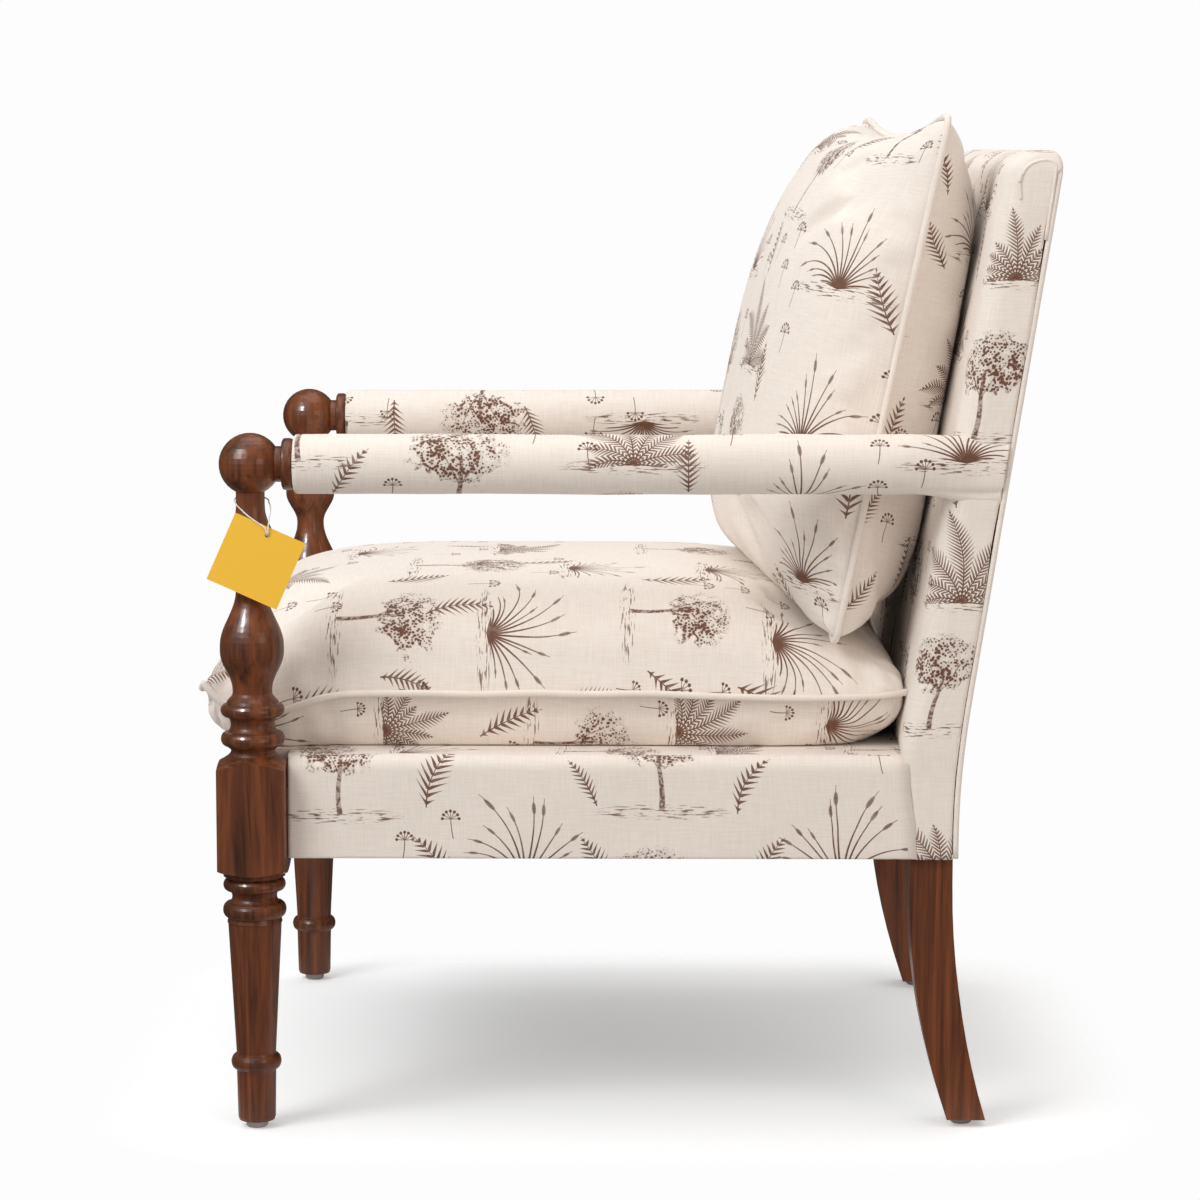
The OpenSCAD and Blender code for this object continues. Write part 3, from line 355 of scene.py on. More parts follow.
def square_seam(count: int) -> tuple[Array, Array]:
    """Places u and v once round the edge of a square panel, between its grid's own points."""
    ends = spread(count)
    side = ends[:-1] + np.diff(ends) / 2
    one = np.ones_like(side)
    return np.concatenate([side, one, -side, -one]), np.concatenate([-one, side, one, -side])


def points_of(mesh: bpy.types.Mesh) -> Array:
    """Places of a mesh's vertices, as rows."""
    flat = np.empty(len(mesh.vertices) * 3)
    mesh.vertices.foreach_get("co", flat)
    return flat.reshape(-1, 3)


def move_to(mesh: bpy.types.Mesh, points: Array) -> None:
    """Moves a mesh's vertices to new places."""
    mesh.vertices.foreach_set("co", points.ravel())
    mesh.update()


def edge_loop(points: Array) -> Array:
    """The outer edge of a grid of points, once round."""
    return np.vstack([points[0, :-1], points[:-1, -1], points[-1, :0:-1], points[:0:-1, 0]])


# Shader graphs


def linear(code: str) -> tuple[float, float, float, float]:
    """The linear colour of an sRGB hex code such as 8a5a3c."""
    parts = [int(code[i : i + 2], 16) / 255 for i in (0, 2, 4)]
    low = [p / 12.92 if p <= 0.04045 else ((p + 0.055) / 1.055) ** 2.4 for p in parts]
    return (low[0], low[1], low[2], 1.0)


Value = Union[float, Sequence[float], "Signal"]
Key = Union[int, str]


@dataclass(frozen=True)
class Signal:
    """A number, vector or colour on its way through a shader graph; arithmetic on it adds nodes.

    Attributes:
        graph: The graph that it belongs to.
        socket: The output that it comes from.
    """

    graph: "Graph"
    socket: bpy.types.NodeSocket

    def math(self, operation: str, *others: Value, clamp: bool = False) -> "Signal":
        """This value and others put through one Math operation."""
        inputs = dict(enumerate((self, *others)))
        return self.graph.add("ShaderNodeMath", inputs, operation=operation, use_clamp=clamp)

    def __add__(self, other: Value) -> "Signal":
        """The sum."""
        return self.math("ADD", other)

    def __sub__(self, other: Value) -> "Signal":
        """The difference."""
        return self.math("SUBTRACT", other)

    def __mul__(self, other: Value) -> "Signal":
        """The product."""
        return self.math("MULTIPLY", other)

    def __truediv__(self, other: Value) -> "Signal":
        """The quotient."""
        return self.math("DIVIDE", other)

    def __abs__(self) -> "Signal":
        """The size without its sign."""
        return self.math("ABSOLUTE")

    def other(self, out: Key) -> "Signal":
        """Another output of the node that this value comes from."""
        return Signal(self.graph, self.socket.node.outputs[out])

    def inked(self, softness: float) -> "Signal":
        """1 where this distance is negative and 0 where it is positive, with a soft edge."""
        return self.math("MULTIPLY_ADD", -1 / softness, 0.5, clamp=True)


Owner = Union[bpy.types.Material, bpy.types.World]


class Graph:
    """The node tree of a material or a world, and the one way in which nodes are added to it."""

    def __init__(self, owner: Owner) -> None:
        """Starts the owner's tree with nothing but its output."""
        self.owner = owner
        owner.use_nodes = True
        self.tree = owner.node_tree
        self.tree.nodes.clear()
        kind = "World" if isinstance(owner, bpy.types.World) else "Material"
        self.output = self.tree.nodes.new(f"ShaderNodeOutput{kind}")

    def add(self, kind: str, inputs: dict[Key, Value], out: Key = 0, **settings: object) -> Signal:
        """Adds a node.

        Args:
            kind: Blender's name of the node's kind.
            inputs: Values or signals for its inputs, by name or number.
            out: The output that is returned.
            **settings: Properties of the node.

        Returns:
            The chosen output.
        """
        node = self.tree.nodes.new(kind)
        for key, setting in settings.items():
            setattr(node, key, setting)
        for key, value in inputs.items():
            if isinstance(value, Signal):
                self.tree.links.new(value.socket, node.inputs[key])
            else:
                node.inputs[key].default_value = value
        return Signal(self, node.outputs[out])

    def blend(self, factor: Value, first: Value, second: Value, how: str = "MIX") -> Signal:
        """The first colour blended towards the second by a factor."""
        inputs = {"Factor": factor, 6: first, 7: second}
        return self.add("ShaderNodeMix", inputs, 2, data_type="RGBA", blend_type=how)

    def noise(
        self, place: Value, scale: float, detail: float, out: Key = "Fac", **more: float
    ) -> Signal:
        """A noise texture, with further inputs by name."""
        inputs = {"Vector": place, "Scale": scale, "Detail": detail, **more}
        return self.add("ShaderNodeTexNoise", inputs, out)

    def vector(self, x: Value, y: Value, z: Value = 0.0) -> Signal:
        """A vector of three values."""
        return self.add("ShaderNodeCombineXYZ", {"X": x, "Y": y, "Z": z})

    def ramp(
        self, value: Value, low: float, high: float, top: float = 1.0, way: str = "LINEAR"
    ) -> Signal:
        """0 where a value is at low, changing to top where it is at high, and held beyond."""
        inputs = {"Value": value, "From Min": low, "From Max": high, "To Max": top}
        return self.add("ShaderNodeMapRange", inputs, interpolation_type=way)

    def bumped(self, height: Value, strength: float, distance: float) -> Signal:
        """The surface's normal, bumped by a height."""
        inputs = {"Strength": strength, "Distance": distance, "Height": height}
        return self.add("ShaderNodeBump", inputs)

    def finish(self, surface: Signal) -> Owner:
        """Links the surface to the output and returns the owner of the tree."""
        self.tree.links.new(surface.socket, self.output.inputs["Surface"])
        return self.owner

    def principled(self, colour: Value, roughness: float, normal: Value, **more: float) -> Owner:
        """Finishes with one Principled surface; further inputs have _ for a space."""
        inputs = {"Base Color": colour, "Roughness": roughness, "Normal": normal}
        inputs.update({name.replace("_", " "): value for name, value in more.items()})
        return self.finish(self.add("ShaderNodeBsdfPrincipled", inputs))


# Finishes


@dataclass(frozen=True)
class Timber:
    """Timber, turned or sawn: long fibres, broad bands of darker growth and fine open pores.

    Attributes:
        name: Name of the material.
        dark: Colour of the growth bands.
        light: Colour between them.
        grain: The way in which the fibres run.
        band: Mean width of a growth band.
        pore: Mean width of a pore.
        roughness: Roughness of the bare wood under its coat.
        coat: Weight of the clear lacquer.
    """

    name: str
    dark: str
    light: str
    grain: Grain
    band: float = 21 * MM
    pore: float = 0.9 * MM
    roughness: float = 0.5
    coat: float = 0.5

    def build(self) -> bpy.types.Material:
        """Makes the material."""
        g = Graph(bpy.data.materials.new(self.name))
        place = g.add("ShaderNodeTexCoord", {}, "Object")
        along = g.add("ShaderNodeMapping", {"Vector": place, "Scale": self.grain.value})
        bend = g.noise(along, 0.35 / self.band, 2.0, "Color")
        warped = g.blend(0.035, along, bend, "ADD")
        figure = g.noise(warped, 1 / self.band, 5.0, Roughness=0.62, Distortion=1.4)
        streak = g.noise(along, 0.24 / self.pore, 3.0)
        pores = g.noise(along, 1 / self.pore, 1.0)
        tone = g.ramp(figure * 0.75 + streak * 0.25, 0.27, 0.73, way="SMOOTHSTEP")
        colour = g.blend(tone, linear(self.dark), linear(self.light))
        shaded = g.blend(g.ramp(pores, 0.34, 0.25, 0.3), colour, linear(self.dark))
        return g.principled(
            shaded,
            self.roughness,
            g.bumped(streak * 0.4 + pores, 0.15, 0.15 * MM),
            IOR=1.5,
            Specular_IOR_Level=0.3,
            Coat_Weight=self.coat,
            Coat_Roughness=0.16,
        )


@dataclass(frozen=True)
class PlantPrint:
    """A brown botanical print: trees, ferns and grasses on ragged ground, sprigs and seed-heads.

    The plants stand in three brick-laid lattices of cells, large, middling and small. A hash of the
    cell's number shifts, flips and sizes each plant, and a small plant is left out where a large
    one stands, so nothing is cut and nothing repeats.

    Attributes:
        stroke: Softness of a drawn line's edge.
        large: Width and height of a large cell.
        middling: Width and height of a middling cell.
        small: Width and height of a small cell.
    """

    stroke: float = 0.5 * MM
    large: tuple[float, float] = (0.146, 0.138)
    middling: tuple[float, float] = (0.076, 0.082)
    small: tuple[float, float] = (0.044, 0.04)

    def cell(
        self, x: Signal, y: Signal, size: tuple[float, float], seed: float, stray: float
    ) -> dict[str, Signal]:
        """Finds the cell that a place lies in.

        Args:
            x: Place across the cloth.
            y: Place up the cloth.
            size: Width and height of a cell.
            seed: Number that keeps the lattices apart.
            stray: Share of the cell by which its plant may stray from the middle.

        Returns:
            The place in the plant's own terms (across, up), the plant's middle (mid_x, mid_y) and
            three hashed numbers from 0 to 1.
        """
        g = x.graph
        col_at = x / size[0] + seed
        col = col_at.math("FLOOR")
        row_at = (col * 0.5).math("FRACT") + y / size[1]
        row = row_at.math("FLOOR")
        hashed = g.add("ShaderNodeTexWhiteNoise", {"Vector": g.vector(col, row, seed)}, "Color")
        one = g.add("ShaderNodeSeparateColor", {"Color": hashed}, "Red")
        two, three = one.other("Green"), one.other("Blue")
        flip = (two * 7.0).math("FRACT").math("SUBTRACT", 0.5).math("SIGN")
        off = (one - 0.5) * (stray * size[0])
        aside = (col_at - col - 0.5) * size[0] - off
        up = (row_at - row - 0.5) * size[1] - (two - 0.5) * (0.5 * stray * size[1])
        return {
            "across": aside * flip,
            "up": up,
            "mid_x": x - aside,
            "mid_y": y - up,
            "one": one,
            "two": two,
            "three": three,
        }

    def frond(
        self,
        along: Signal,
        aside: Signal,
        length: Value,
        reach: Value,
        spacing: Value,
        slant: float,
        plump: float,
    ) -> Signal:
        """A stem with pairs of leaflets.

        With t = along / length, leaflets reach out to reach * 4 t (1 - t) on both sides, lean
        forwards by slant and repeat at the spacing; each is plump near the stem and pointed.

        Args:
            along: Place along the stem from its root.
            aside: Place beside the stem.
            length: The stem's length.
            reach: The longest leaflet.
            spacing: From one leaflet to the next.
            slant: Forward lean of the leaflets.
            plump: Half thickness of a leaflet as a share of the spacing.

        Returns:
            Ink from 0 to 1.
        """
        t = along / length
        left = (t * -1.0) + 1.0
        inside = (t * left).math("GREATER_THAN", 0.0)
        away = abs(aside)
        tip = ((t * left) * 4.0 * reach).math("MAXIMUM", 0.1 * MM)
        share = away / tip
        beat = abs(((along - away * slant) / spacing).math("FRACT") - 0.5)
        body = (share * 5.0 + 0.35).math("MINIMUM", 1.0)
        thick = ((share * -1.0) + 1.0) * body * plump
        leaflets = ((beat - thick) * spacing).inked(self.stroke)
        rib = (beat * spacing - 0.12 * MM).inked(self.stroke) * 0.45
        stem = (away - (left * 0.5 * MM + 0.25 * MM)).inked(self.stroke)
        drawn = (leaflets - rib).math("MAXIMUM", stem)
        return drawn * inside

    def fan(
        self, across: Signal, up: Signal, size: Signal, sector: Value, cell: dict[str, Signal]
    ) -> tuple[Signal, Signal, Signal]:
        """Divides the space over a root into bowed sectors, one for each frond or blade.

        The angle from upright, less a lean that grows with the distance, is divided by
        1 + 0.9 r / size, which bows every frond outwards, and then split evenly; each frond also
        swings a little to one side.

        Args:
            across: Place across, from the root.
            up: Place above the root.
            size: The longest frond.
            sector: Angle of a sector at the root.
            cell: The cell, whose hashed numbers set the lean and the lengths.

        Returns:
            The distance from the root, the place beside the sector's middle line and the length of
            its frond.
        """
        far = (across * across + up * up).math("SQRT")
        share = far / size
        turn = across.math("ARCTAN2", up) - (cell["two"] - 0.5) * 1.3 * share
        bow = share * 0.9 + 1.0
        even = (turn / bow) / sector + cell["three"]
        number = even.math("ROUND")
        aside = (even - number) * far * bow * sector
        g = across.graph
        key = g.vector(number, cell["one"] * 97.0)
        hashed = g.add("ShaderNodeTexWhiteNoise", {"Vector": key}, "Value", noise_dimensions="2D")
        swing = (hashed * 7.0).math("FRACT") - 0.5
        aside = aside + swing * far * share * 0.3
        reach = (abs(turn) * -0.22 + 1.05).math("MAXIMUM", 0.0)
        return far, aside, size * (hashed * 0.45 + 0.55) * reach

    def clump(self, across: Signal, up: Signal, size: Signal, cell: dict[str, Signal]) -> Signal:
        """A fern: fronds that rise from one root and bow outwards."""
        far, aside, length = self.fan(across, up, size, cell["three"] * 0.1 + 0.28, cell)
        drawn = self.frond(far, aside, length, size * 0.16, 3.5 * MM, 0.95, 0.36)
        return drawn * (up + far * 0.1).math("GREATER_THAN", 0.0)

    def grasses(self, across: Signal, up: Signal, size: Signal, cell: dict[str, Signal]) -> Signal:
        """A tuft of grass: thin tapering blades with a plump ear at the tip."""
        far, aside, length = self.fan(across, up, size, 0.15, cell)
        t = far / length
        left = t * -1.0 + 1.0
        blade = abs(aside) - (left * 0.9 * MM).math("MAXIMUM", 0.0) - 0.25 * MM
        past = (t - 0.86) * length / 3.2
        ear = (past * past + aside * aside).math("SQRT") - length * 0.022
        husk = (far / (1.3 * MM)).math("FRACT") * 0.5 + 0.5
        drawn = blade.inked(self.stroke).math("MAXIMUM", ear.inked(self.stroke) * husk)
        return drawn * left.math("GREATER_THAN", 0.0) * (up - far * 0.2).math("GREATER_THAN", 0.0)

    def tree(self, across: Signal, up: Signal, height: Signal, rough: Signal) -> Signal:
        """A round-headed tree: a forked trunk under a crown of stippled leaves.

        The crown is the ellipse (across / 0.42 h)^2 + ((up - 0.68 h) / 0.3 h)^2 < 1 with a ragged
        edge; in it, Voronoi spots grow where a coarse noise and the shaded side are dark.

        Args:
            across: Place across, from the foot of the trunk.
            up: Place above it.
            height: Height of the tree.
            rough: Coarse noise around 0.5.

        Returns:
            Ink from 0 to 1.
        """
        u = across / height
        v = up / height
        wide = u / 0.42
        tall = (v - 0.68) / 0.31
        crown = wide * wide + tall * tall + (rough - 0.5) * 2.6 - 0.8
        g = across.graph
        inputs = {"Vector": g.vector(across, up), "Scale": 1 / (3.1 * MM)}
        spots = g.add("ShaderNodeTexVoronoi", inputs, "Distance", voronoi_dimensions="2D")
        shade = (rough - 0.5) * 1.7 + (u * 0.35 - tall * 0.12) + 0.36
        inside = (crown * (20 * MM)).inked(3 * MM)
        leaves = (spots - shade).inked(0.16) * inside
        wash = (shade * 0.55).math("MAXIMUM", 0.0) * inside
        sway = u - (v * 9.0).math("SINE") * 0.014
        trunk = (abs(sway) - (v * -0.02 + 0.026)).inked(0.008)
        fork = (abs(abs(sway) - (v - 0.36) * 0.52) - 0.008).inked(0.008)
        low = v.math("LESS_THAN", 0.62) * v.math("GREATER_THAN", 0.0)
        high = v.math("LESS_THAN", 0.66) * v.math("GREATER_THAN", 0.36)
        wood = (trunk * low).math("MAXIMUM", fork * high)
        bark = (rough * 30.0).math("SINE") * 0.25 + 0.75
        return leaves.math("MAXIMUM", wash).math("MAXIMUM", wood * bark)

    def ground(self, across: Signal, up: Signal, reach: Signal) -> Signal:
        """Ragged level strokes under a plant: a noise stretched 9 times across, cut at a height."""
        flat = across.graph.vector(across / (16 * MM), up / (1.7 * MM))
        noise = across.graph.noise(flat, 1.0, 2.0)
        wide = across / reach
        tall = (up + 2 * MM) / (7 * MM)
        edge = (wide * wide + tall * tall).math("SUBTRACT", 1.0)
        return ((noise * -1.0 + 0.57).inked(0.05) * edge.inked(0.5)) * 0.85

    def seed_head(self, across: Signal, up: Signal, size: Signal) -> Signal:
        """A small umbel: a bent stem and a fan of rays with a dot on each."""
        level = up - size * 0.25
        far = (across * across + level * level).math("SQRT")
        even = across.math("ARCTAN2", level) / 0.5
        aside = abs((even - even.math("ROUND")) * far * 0.5)
        past = far - size * 0.3
        dot = ((aside * aside + past * past).math("SQRT") - size * 0.055).inked(self.stroke)
        ray = (aside - 0.3 * MM).inked(self.stroke) * past.math("LESS_THAN", 0.0)
        fan = abs(even).math("LESS_THAN", 3.6)
        bent = across + level * level * 6.0
        below = level.math("LESS_THAN", 0.0) * (level + size * 0.7).math("GREATER_THAN", 0.0)
        stem = (abs(bent) - 0.4 * MM).inked(self.stroke) * below
        return (dot.math("MAXIMUM", ray) * fan).math("MAXIMUM", stem)

    def sprig(self, cell: dict[str, Signal]) -> Signal:
        """A curved leafy sprig, leaning as the cell's numbers say; one cell in ten has none."""
        length = cell["three"] * 0.024 + 0.05
        slope = (cell["two"] - 0.5) * 1.5
        up = cell["up"] + cell["across"] * slope
        across = cell["across"] - cell["up"] * slope
        bend = across - (up * up) * (cell["one"] * 16.0 - 8.0)
        drawn = self.frond(
            up + length * 0.5,
            bend,
            length,
            length * (cell["two"] * 0.1 + 0.17),
            cell["three"] * (3.5 * MM) + 4.4 * MM,
            0.8,
            0.33,
        )
        return drawn * cell["one"].math("LESS_THAN", 0.9)

    def clear_of_large(self, cell: dict[str, Signal], across: float, up: float) -> Signal:
        """1 where a plant's middle lies outside an ellipse round the nearest large plant."""
        under = self.cell(cell["mid_x"], cell["mid_y"], self.large, 8.0, 0.2)
        wide, tall = under["across"] / across, under["up"] / up
        return (wide * wide + tall * tall).math("GREATER_THAN", 1.0)

    def ink(self, cloth: Signal) -> Signal:
        """Ink from 0 to 1 of all the plants at once, at a place on the cloth in metres."""
        g = cloth.graph
        x = g.add("ShaderNodeSeparateXYZ", {"Vector": cloth}, "X")
        y = x.other("Y")
        rough = g.noise(cloth, 1 / (11 * MM), 3.0)
        big = self.cell(x, y, self.large, 8.0, 0.2)
        height = big["three"] * 0.032 + 0.088
        foot = big["up"] + height * 0.43
        is_tree = big["one"].math("LESS_THAN", 0.42)
        is_grass = big["one"].math("GREATER_THAN", 0.76)
        is_fern = (is_tree + is_grass) * -1.0 + 1.0
        plants = [
            self.tree(big["across"], foot, height * 0.97, rough) * is_tree,
            self.clump(big["across"], foot, height * 0.8, big) * is_fern,
            self.grasses(big["across"], foot, height * 0.88, big) * is_grass,
            self.ground(big["across"], foot, height * 0.55),
        ]
        part = self.cell(x, y, self.middling, 11.0, 0.25)
        plants.append(self.sprig(part) * self.clear_of_large(part, 0.058, 0.07))
        part = self.cell(x, y, self.small, 23.0, 0.3)
        seed = self.seed_head(part["across"], part["up"], part["three"] * 0.008 + 0.022)
        kept = self.clear_of_large(part, 0.05, 0.058) * part["one"].math("LESS_THAN", 0.3)
        plants.append(seed * kept)
        layers = plants[0]
        for plant in plants[1:]:
            layers = layers.math("MAXIMUM", plant)
        worn = rough * 0.8 + 0.62
        return (layers * worn).math("MINIMUM", 1.0)


@dataclass(frozen=True)
class Linen:
    """Plain-woven linen: slubbed yarns both ways, a dull soft surface with a little fuzz.

    Attributes:
        name: Name of the material.
        light: Colour of the raised yarns, painted lighter as light on their tops.
        shade: Colour between the yarns, painted darker as shade in the hollows of the weave.
        ink: Colour of the print's lines.
        faint: The colour that they fade towards with the yarns.
        thread: Spacing of the yarns; real linen has 0.6 mm, drawn coarser so that it shows.
        slub: Length of a thick place in a yarn.
        printed: The print, or none.
    """

    name: str
    # The yarns' tone, with painted light on the raised yarns and painted shade between them.
    light: str = "f4ece4"
    shade: str = "ede2d8"
    ink: str = "3c1a06"
    faint: str = "80461c"
    thread: float = 1.5 * MM
    slub: float = 26 * MM
    printed: Optional[PlantPrint] = None

    def build(self) -> bpy.types.Material:
        """Makes the material."""
        g = Graph(bpy.data.materials.new(self.name))
        cloth = g.add("ShaderNodeUVMap", {}, uv_map=CLOTH_UV)
        yarns = []
        for scale in ((1 / self.slub, 1 / self.thread, 1.0), (1 / self.thread, 1 / self.slub, 1.0)):
            run = g.add("ShaderNodeMapping", {"Vector": cloth, "Scale": scale})
            yarns.append(g.noise(run, 1.0, 2.0))
        weave = (yarns[0] + yarns[1]) * 0.5
        # Colour follows the weave's height: the yarns' own tone, plus painted light on the raised
        # yarns and painted shade in the hollows between them.
        colour = g.blend(g.ramp(weave, 0.38, 0.6), linear(self.shade), linear(self.light))
        if self.printed:
            ink = self.printed.ink(cloth)
            brown = g.blend(yarns[0], linear(self.ink), linear(self.faint))
            colour = g.blend(ink * 0.96, colour, brown)
        relief = g.bumped(weave, 0.22, 0.2 * MM)
        return g.principled(colour, 0.88, relief, IOR=1.45, Sheen_Weight=0.12, Sheen_Roughness=0.5)


@dataclass(frozen=True)
class Plain:
    """A finish with one colour that wavers a little and a fine relief of its own.

    Attributes:
        name: Name of the material.
        colour: Its colour.
        shade: The colour that it wavers towards.
        grit: Size of its relief.
        stretch: How the relief is drawn out, as factors on X, Y and Z.
        depth: Height of the relief.
        roughness: Its roughness.
        metallic: 1 for a metal.
    """

    name: str
    colour: str
    shade: str
    grit: float
    stretch: tuple[float, float, float] = (1.0, 1.0, 1.0)
    depth: float = 0.1 * MM
    roughness: float = 0.6
    metallic: float = 0.0

    def build(self) -> bpy.types.Material:
        """Makes the material."""
        g = Graph(bpy.data.materials.new(self.name))
        place = g.add("ShaderNodeTexCoord", {}, "Object")
        drawn = g.add("ShaderNodeMapping", {"Vector": place, "Scale": self.stretch})
        grain = g.noise(drawn, 1 / self.grit, 3.0)
        colour = g.blend(grain, linear(self.shade), linear(self.colour))
        relief = g.bumped(grain, 0.4, self.depth)
        return g.principled(colour, self.roughness, relief, Metallic=self.metallic)


# The chair's shape


@dataclass(frozen=True)
class Chair:
    """Sizes that the frame gives, with y counted from the front posts' axis.

    Attributes:
        post_x: Distance of the front posts from the middle.
        post_y: Where the posts' axis lies in the frame.
        post_half: Half the width of a post's block.
        arm_z: Height of the arms' middle line.
        sleeve_y: Front end of the arms' covers.
        arm_r: Radius of the padded arms.
        side_x: Half the width over the seat band.
        front_y: Front face of the seat band.
        band_z: Lower edge of the seat band.
        deck_z: Top of the seat band.
        back_z: Top of the back.
        foot_y: From the posts' axis to the foot of the back's rear face.
        bend_lift: Height over the band's lower edge at which that face begins to bend.
        bend_r: Radius of the bend.
        rake: Backward rake of the back over it.
        top_r: Height of the rounding along the back's top.
        crown: How far the back's front swells forward.
        shell: Thickness of the outside back with its board.
        fit: Clearance between pieces.
    """

    post_x: float
    post_y: float
    post_half: float
    arm_z: float
    sleeve_y: float
    arm_r: float
    side_x: float
    front_y: float
    band_z: float
    deck_z: float
    back_z: float
    foot_y: float = 0.647
    bend_lift: float = 9 * MM
    bend_r: float = 0.88
    rake: float = math.radians(9)
    top_r: float = 22 * MM
    crown: float = 7 * MM
    shell: float = 5.5 * MM
    fit: float = 0.3 * MM

    @classmethod
    def measure(cls) -> "Chair":
        """Reads the sizes from the frame's boxes."""
        low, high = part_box(Side.LEFT.node("front_post"))
        sleeve_low, sleeve_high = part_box(Side.LEFT.node("arm_cover"))
        band_low, band_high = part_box("seat_cover")
        post_y = (low.y + high.y) / 2
        return cls(
            post_x=(low.x + high.x) / 2,
            post_y=post_y,
            post_half=(high.x - low.x) / 2,
            arm_z=(sleeve_low.z + sleeve_high.z) / 2,
            sleeve_y=sleeve_low.y - post_y,
            arm_r=(sleeve_high.z - sleeve_low.z) / 2,
            side_x=band_high.x,
            front_y=band_low.y - post_y,
            band_z=band_low.z,
            deck_z=band_high.z,
            back_z=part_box("back_cover")[1].z,
        )

    def placed(self, points: Array) -> Array:
        """Points with y from the posts' axis, moved to the frame's own origin."""
        return points + np.array([0, self.post_y, 0])

    def rear(self, z: Number) -> Number:
        """The rear face: upright, then an arc of bend_r, then straight at the rake."""
        rise = np.maximum(0, z - self.band_z - self.bend_lift)
        bent = np.minimum(rise, self.bend_r * math.sin(self.rake))
        arc = self.bend_r - np.sqrt(self.bend_r**2 - bent**2)
        return self.foot_y + arc + (rise - bent) * math.tan(self.rake)

    def depth(self, z: Number) -> Number:
        """Thickness of the back from front to rear, straight between the heights below."""
        over_deck = self.deck_z + np.array([-0.064, -0.028, 0.012, 0.19])
        heights = [self.band_z, *over_deck, self.arm_z + 0.03, self.back_z - 0.09, self.back_z]
        return np.interp(z, heights, np.array([44, 45, 52, 57, 55, 55, 52, 51]) * MM)

    def front(self, z: Number) -> Number:
        """The front face of the back, without its crown."""
        return self.rear(z) - self.depth(z)


def raised(points: Array, amount: Array) -> Array:
    """Moves a grid of points, whose rows are rings, along its normals.

    The normal is the cross product of the steps to the neighbours along and across, turned to point
    away from the grid's middle.

    Args:
        points: Rows by columns by 3.
        amount: How far each point moves outwards.

    Returns:
        The moved points.
    """
    along = np.roll(points, -1, axis=1) - np.roll(points, 1, axis=1)
    normal = np.cross(along, np.gradient(points, axis=0))
    normal /= np.maximum(np.linalg.norm(normal, axis=-1, keepdims=True), 1e-12)
    outwards = points - points.reshape(-1, 3).mean(axis=0)
    if (normal * outwards).sum() < 0:
        normal = -normal
    return points + normal * amount[..., None]


@dataclass
class Upholsterer:
    """Hands out the finishes, and dresses and seats each finished piece.

    Attributes:
        chair: The chair's sizes.
        finishes: The material of each slot.
    """

    chair: Chair
    finishes: dict[str, bpy.types.Material]

    def dress(self, piece: Object, slot: str, body: Body, *nodes: str) -> Object:
        """Gives a piece its material and its body, and hides the nodes that it stands for."""
        piece.data.materials.clear()
        piece.data.materials.append(self.finishes[slot])
        if nodes:
            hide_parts(*nodes)
        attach(piece, body.value)
        LOG.info("%s: %d faces, on %s", piece.name, len(piece.data.polygons), body.value)
        return piece


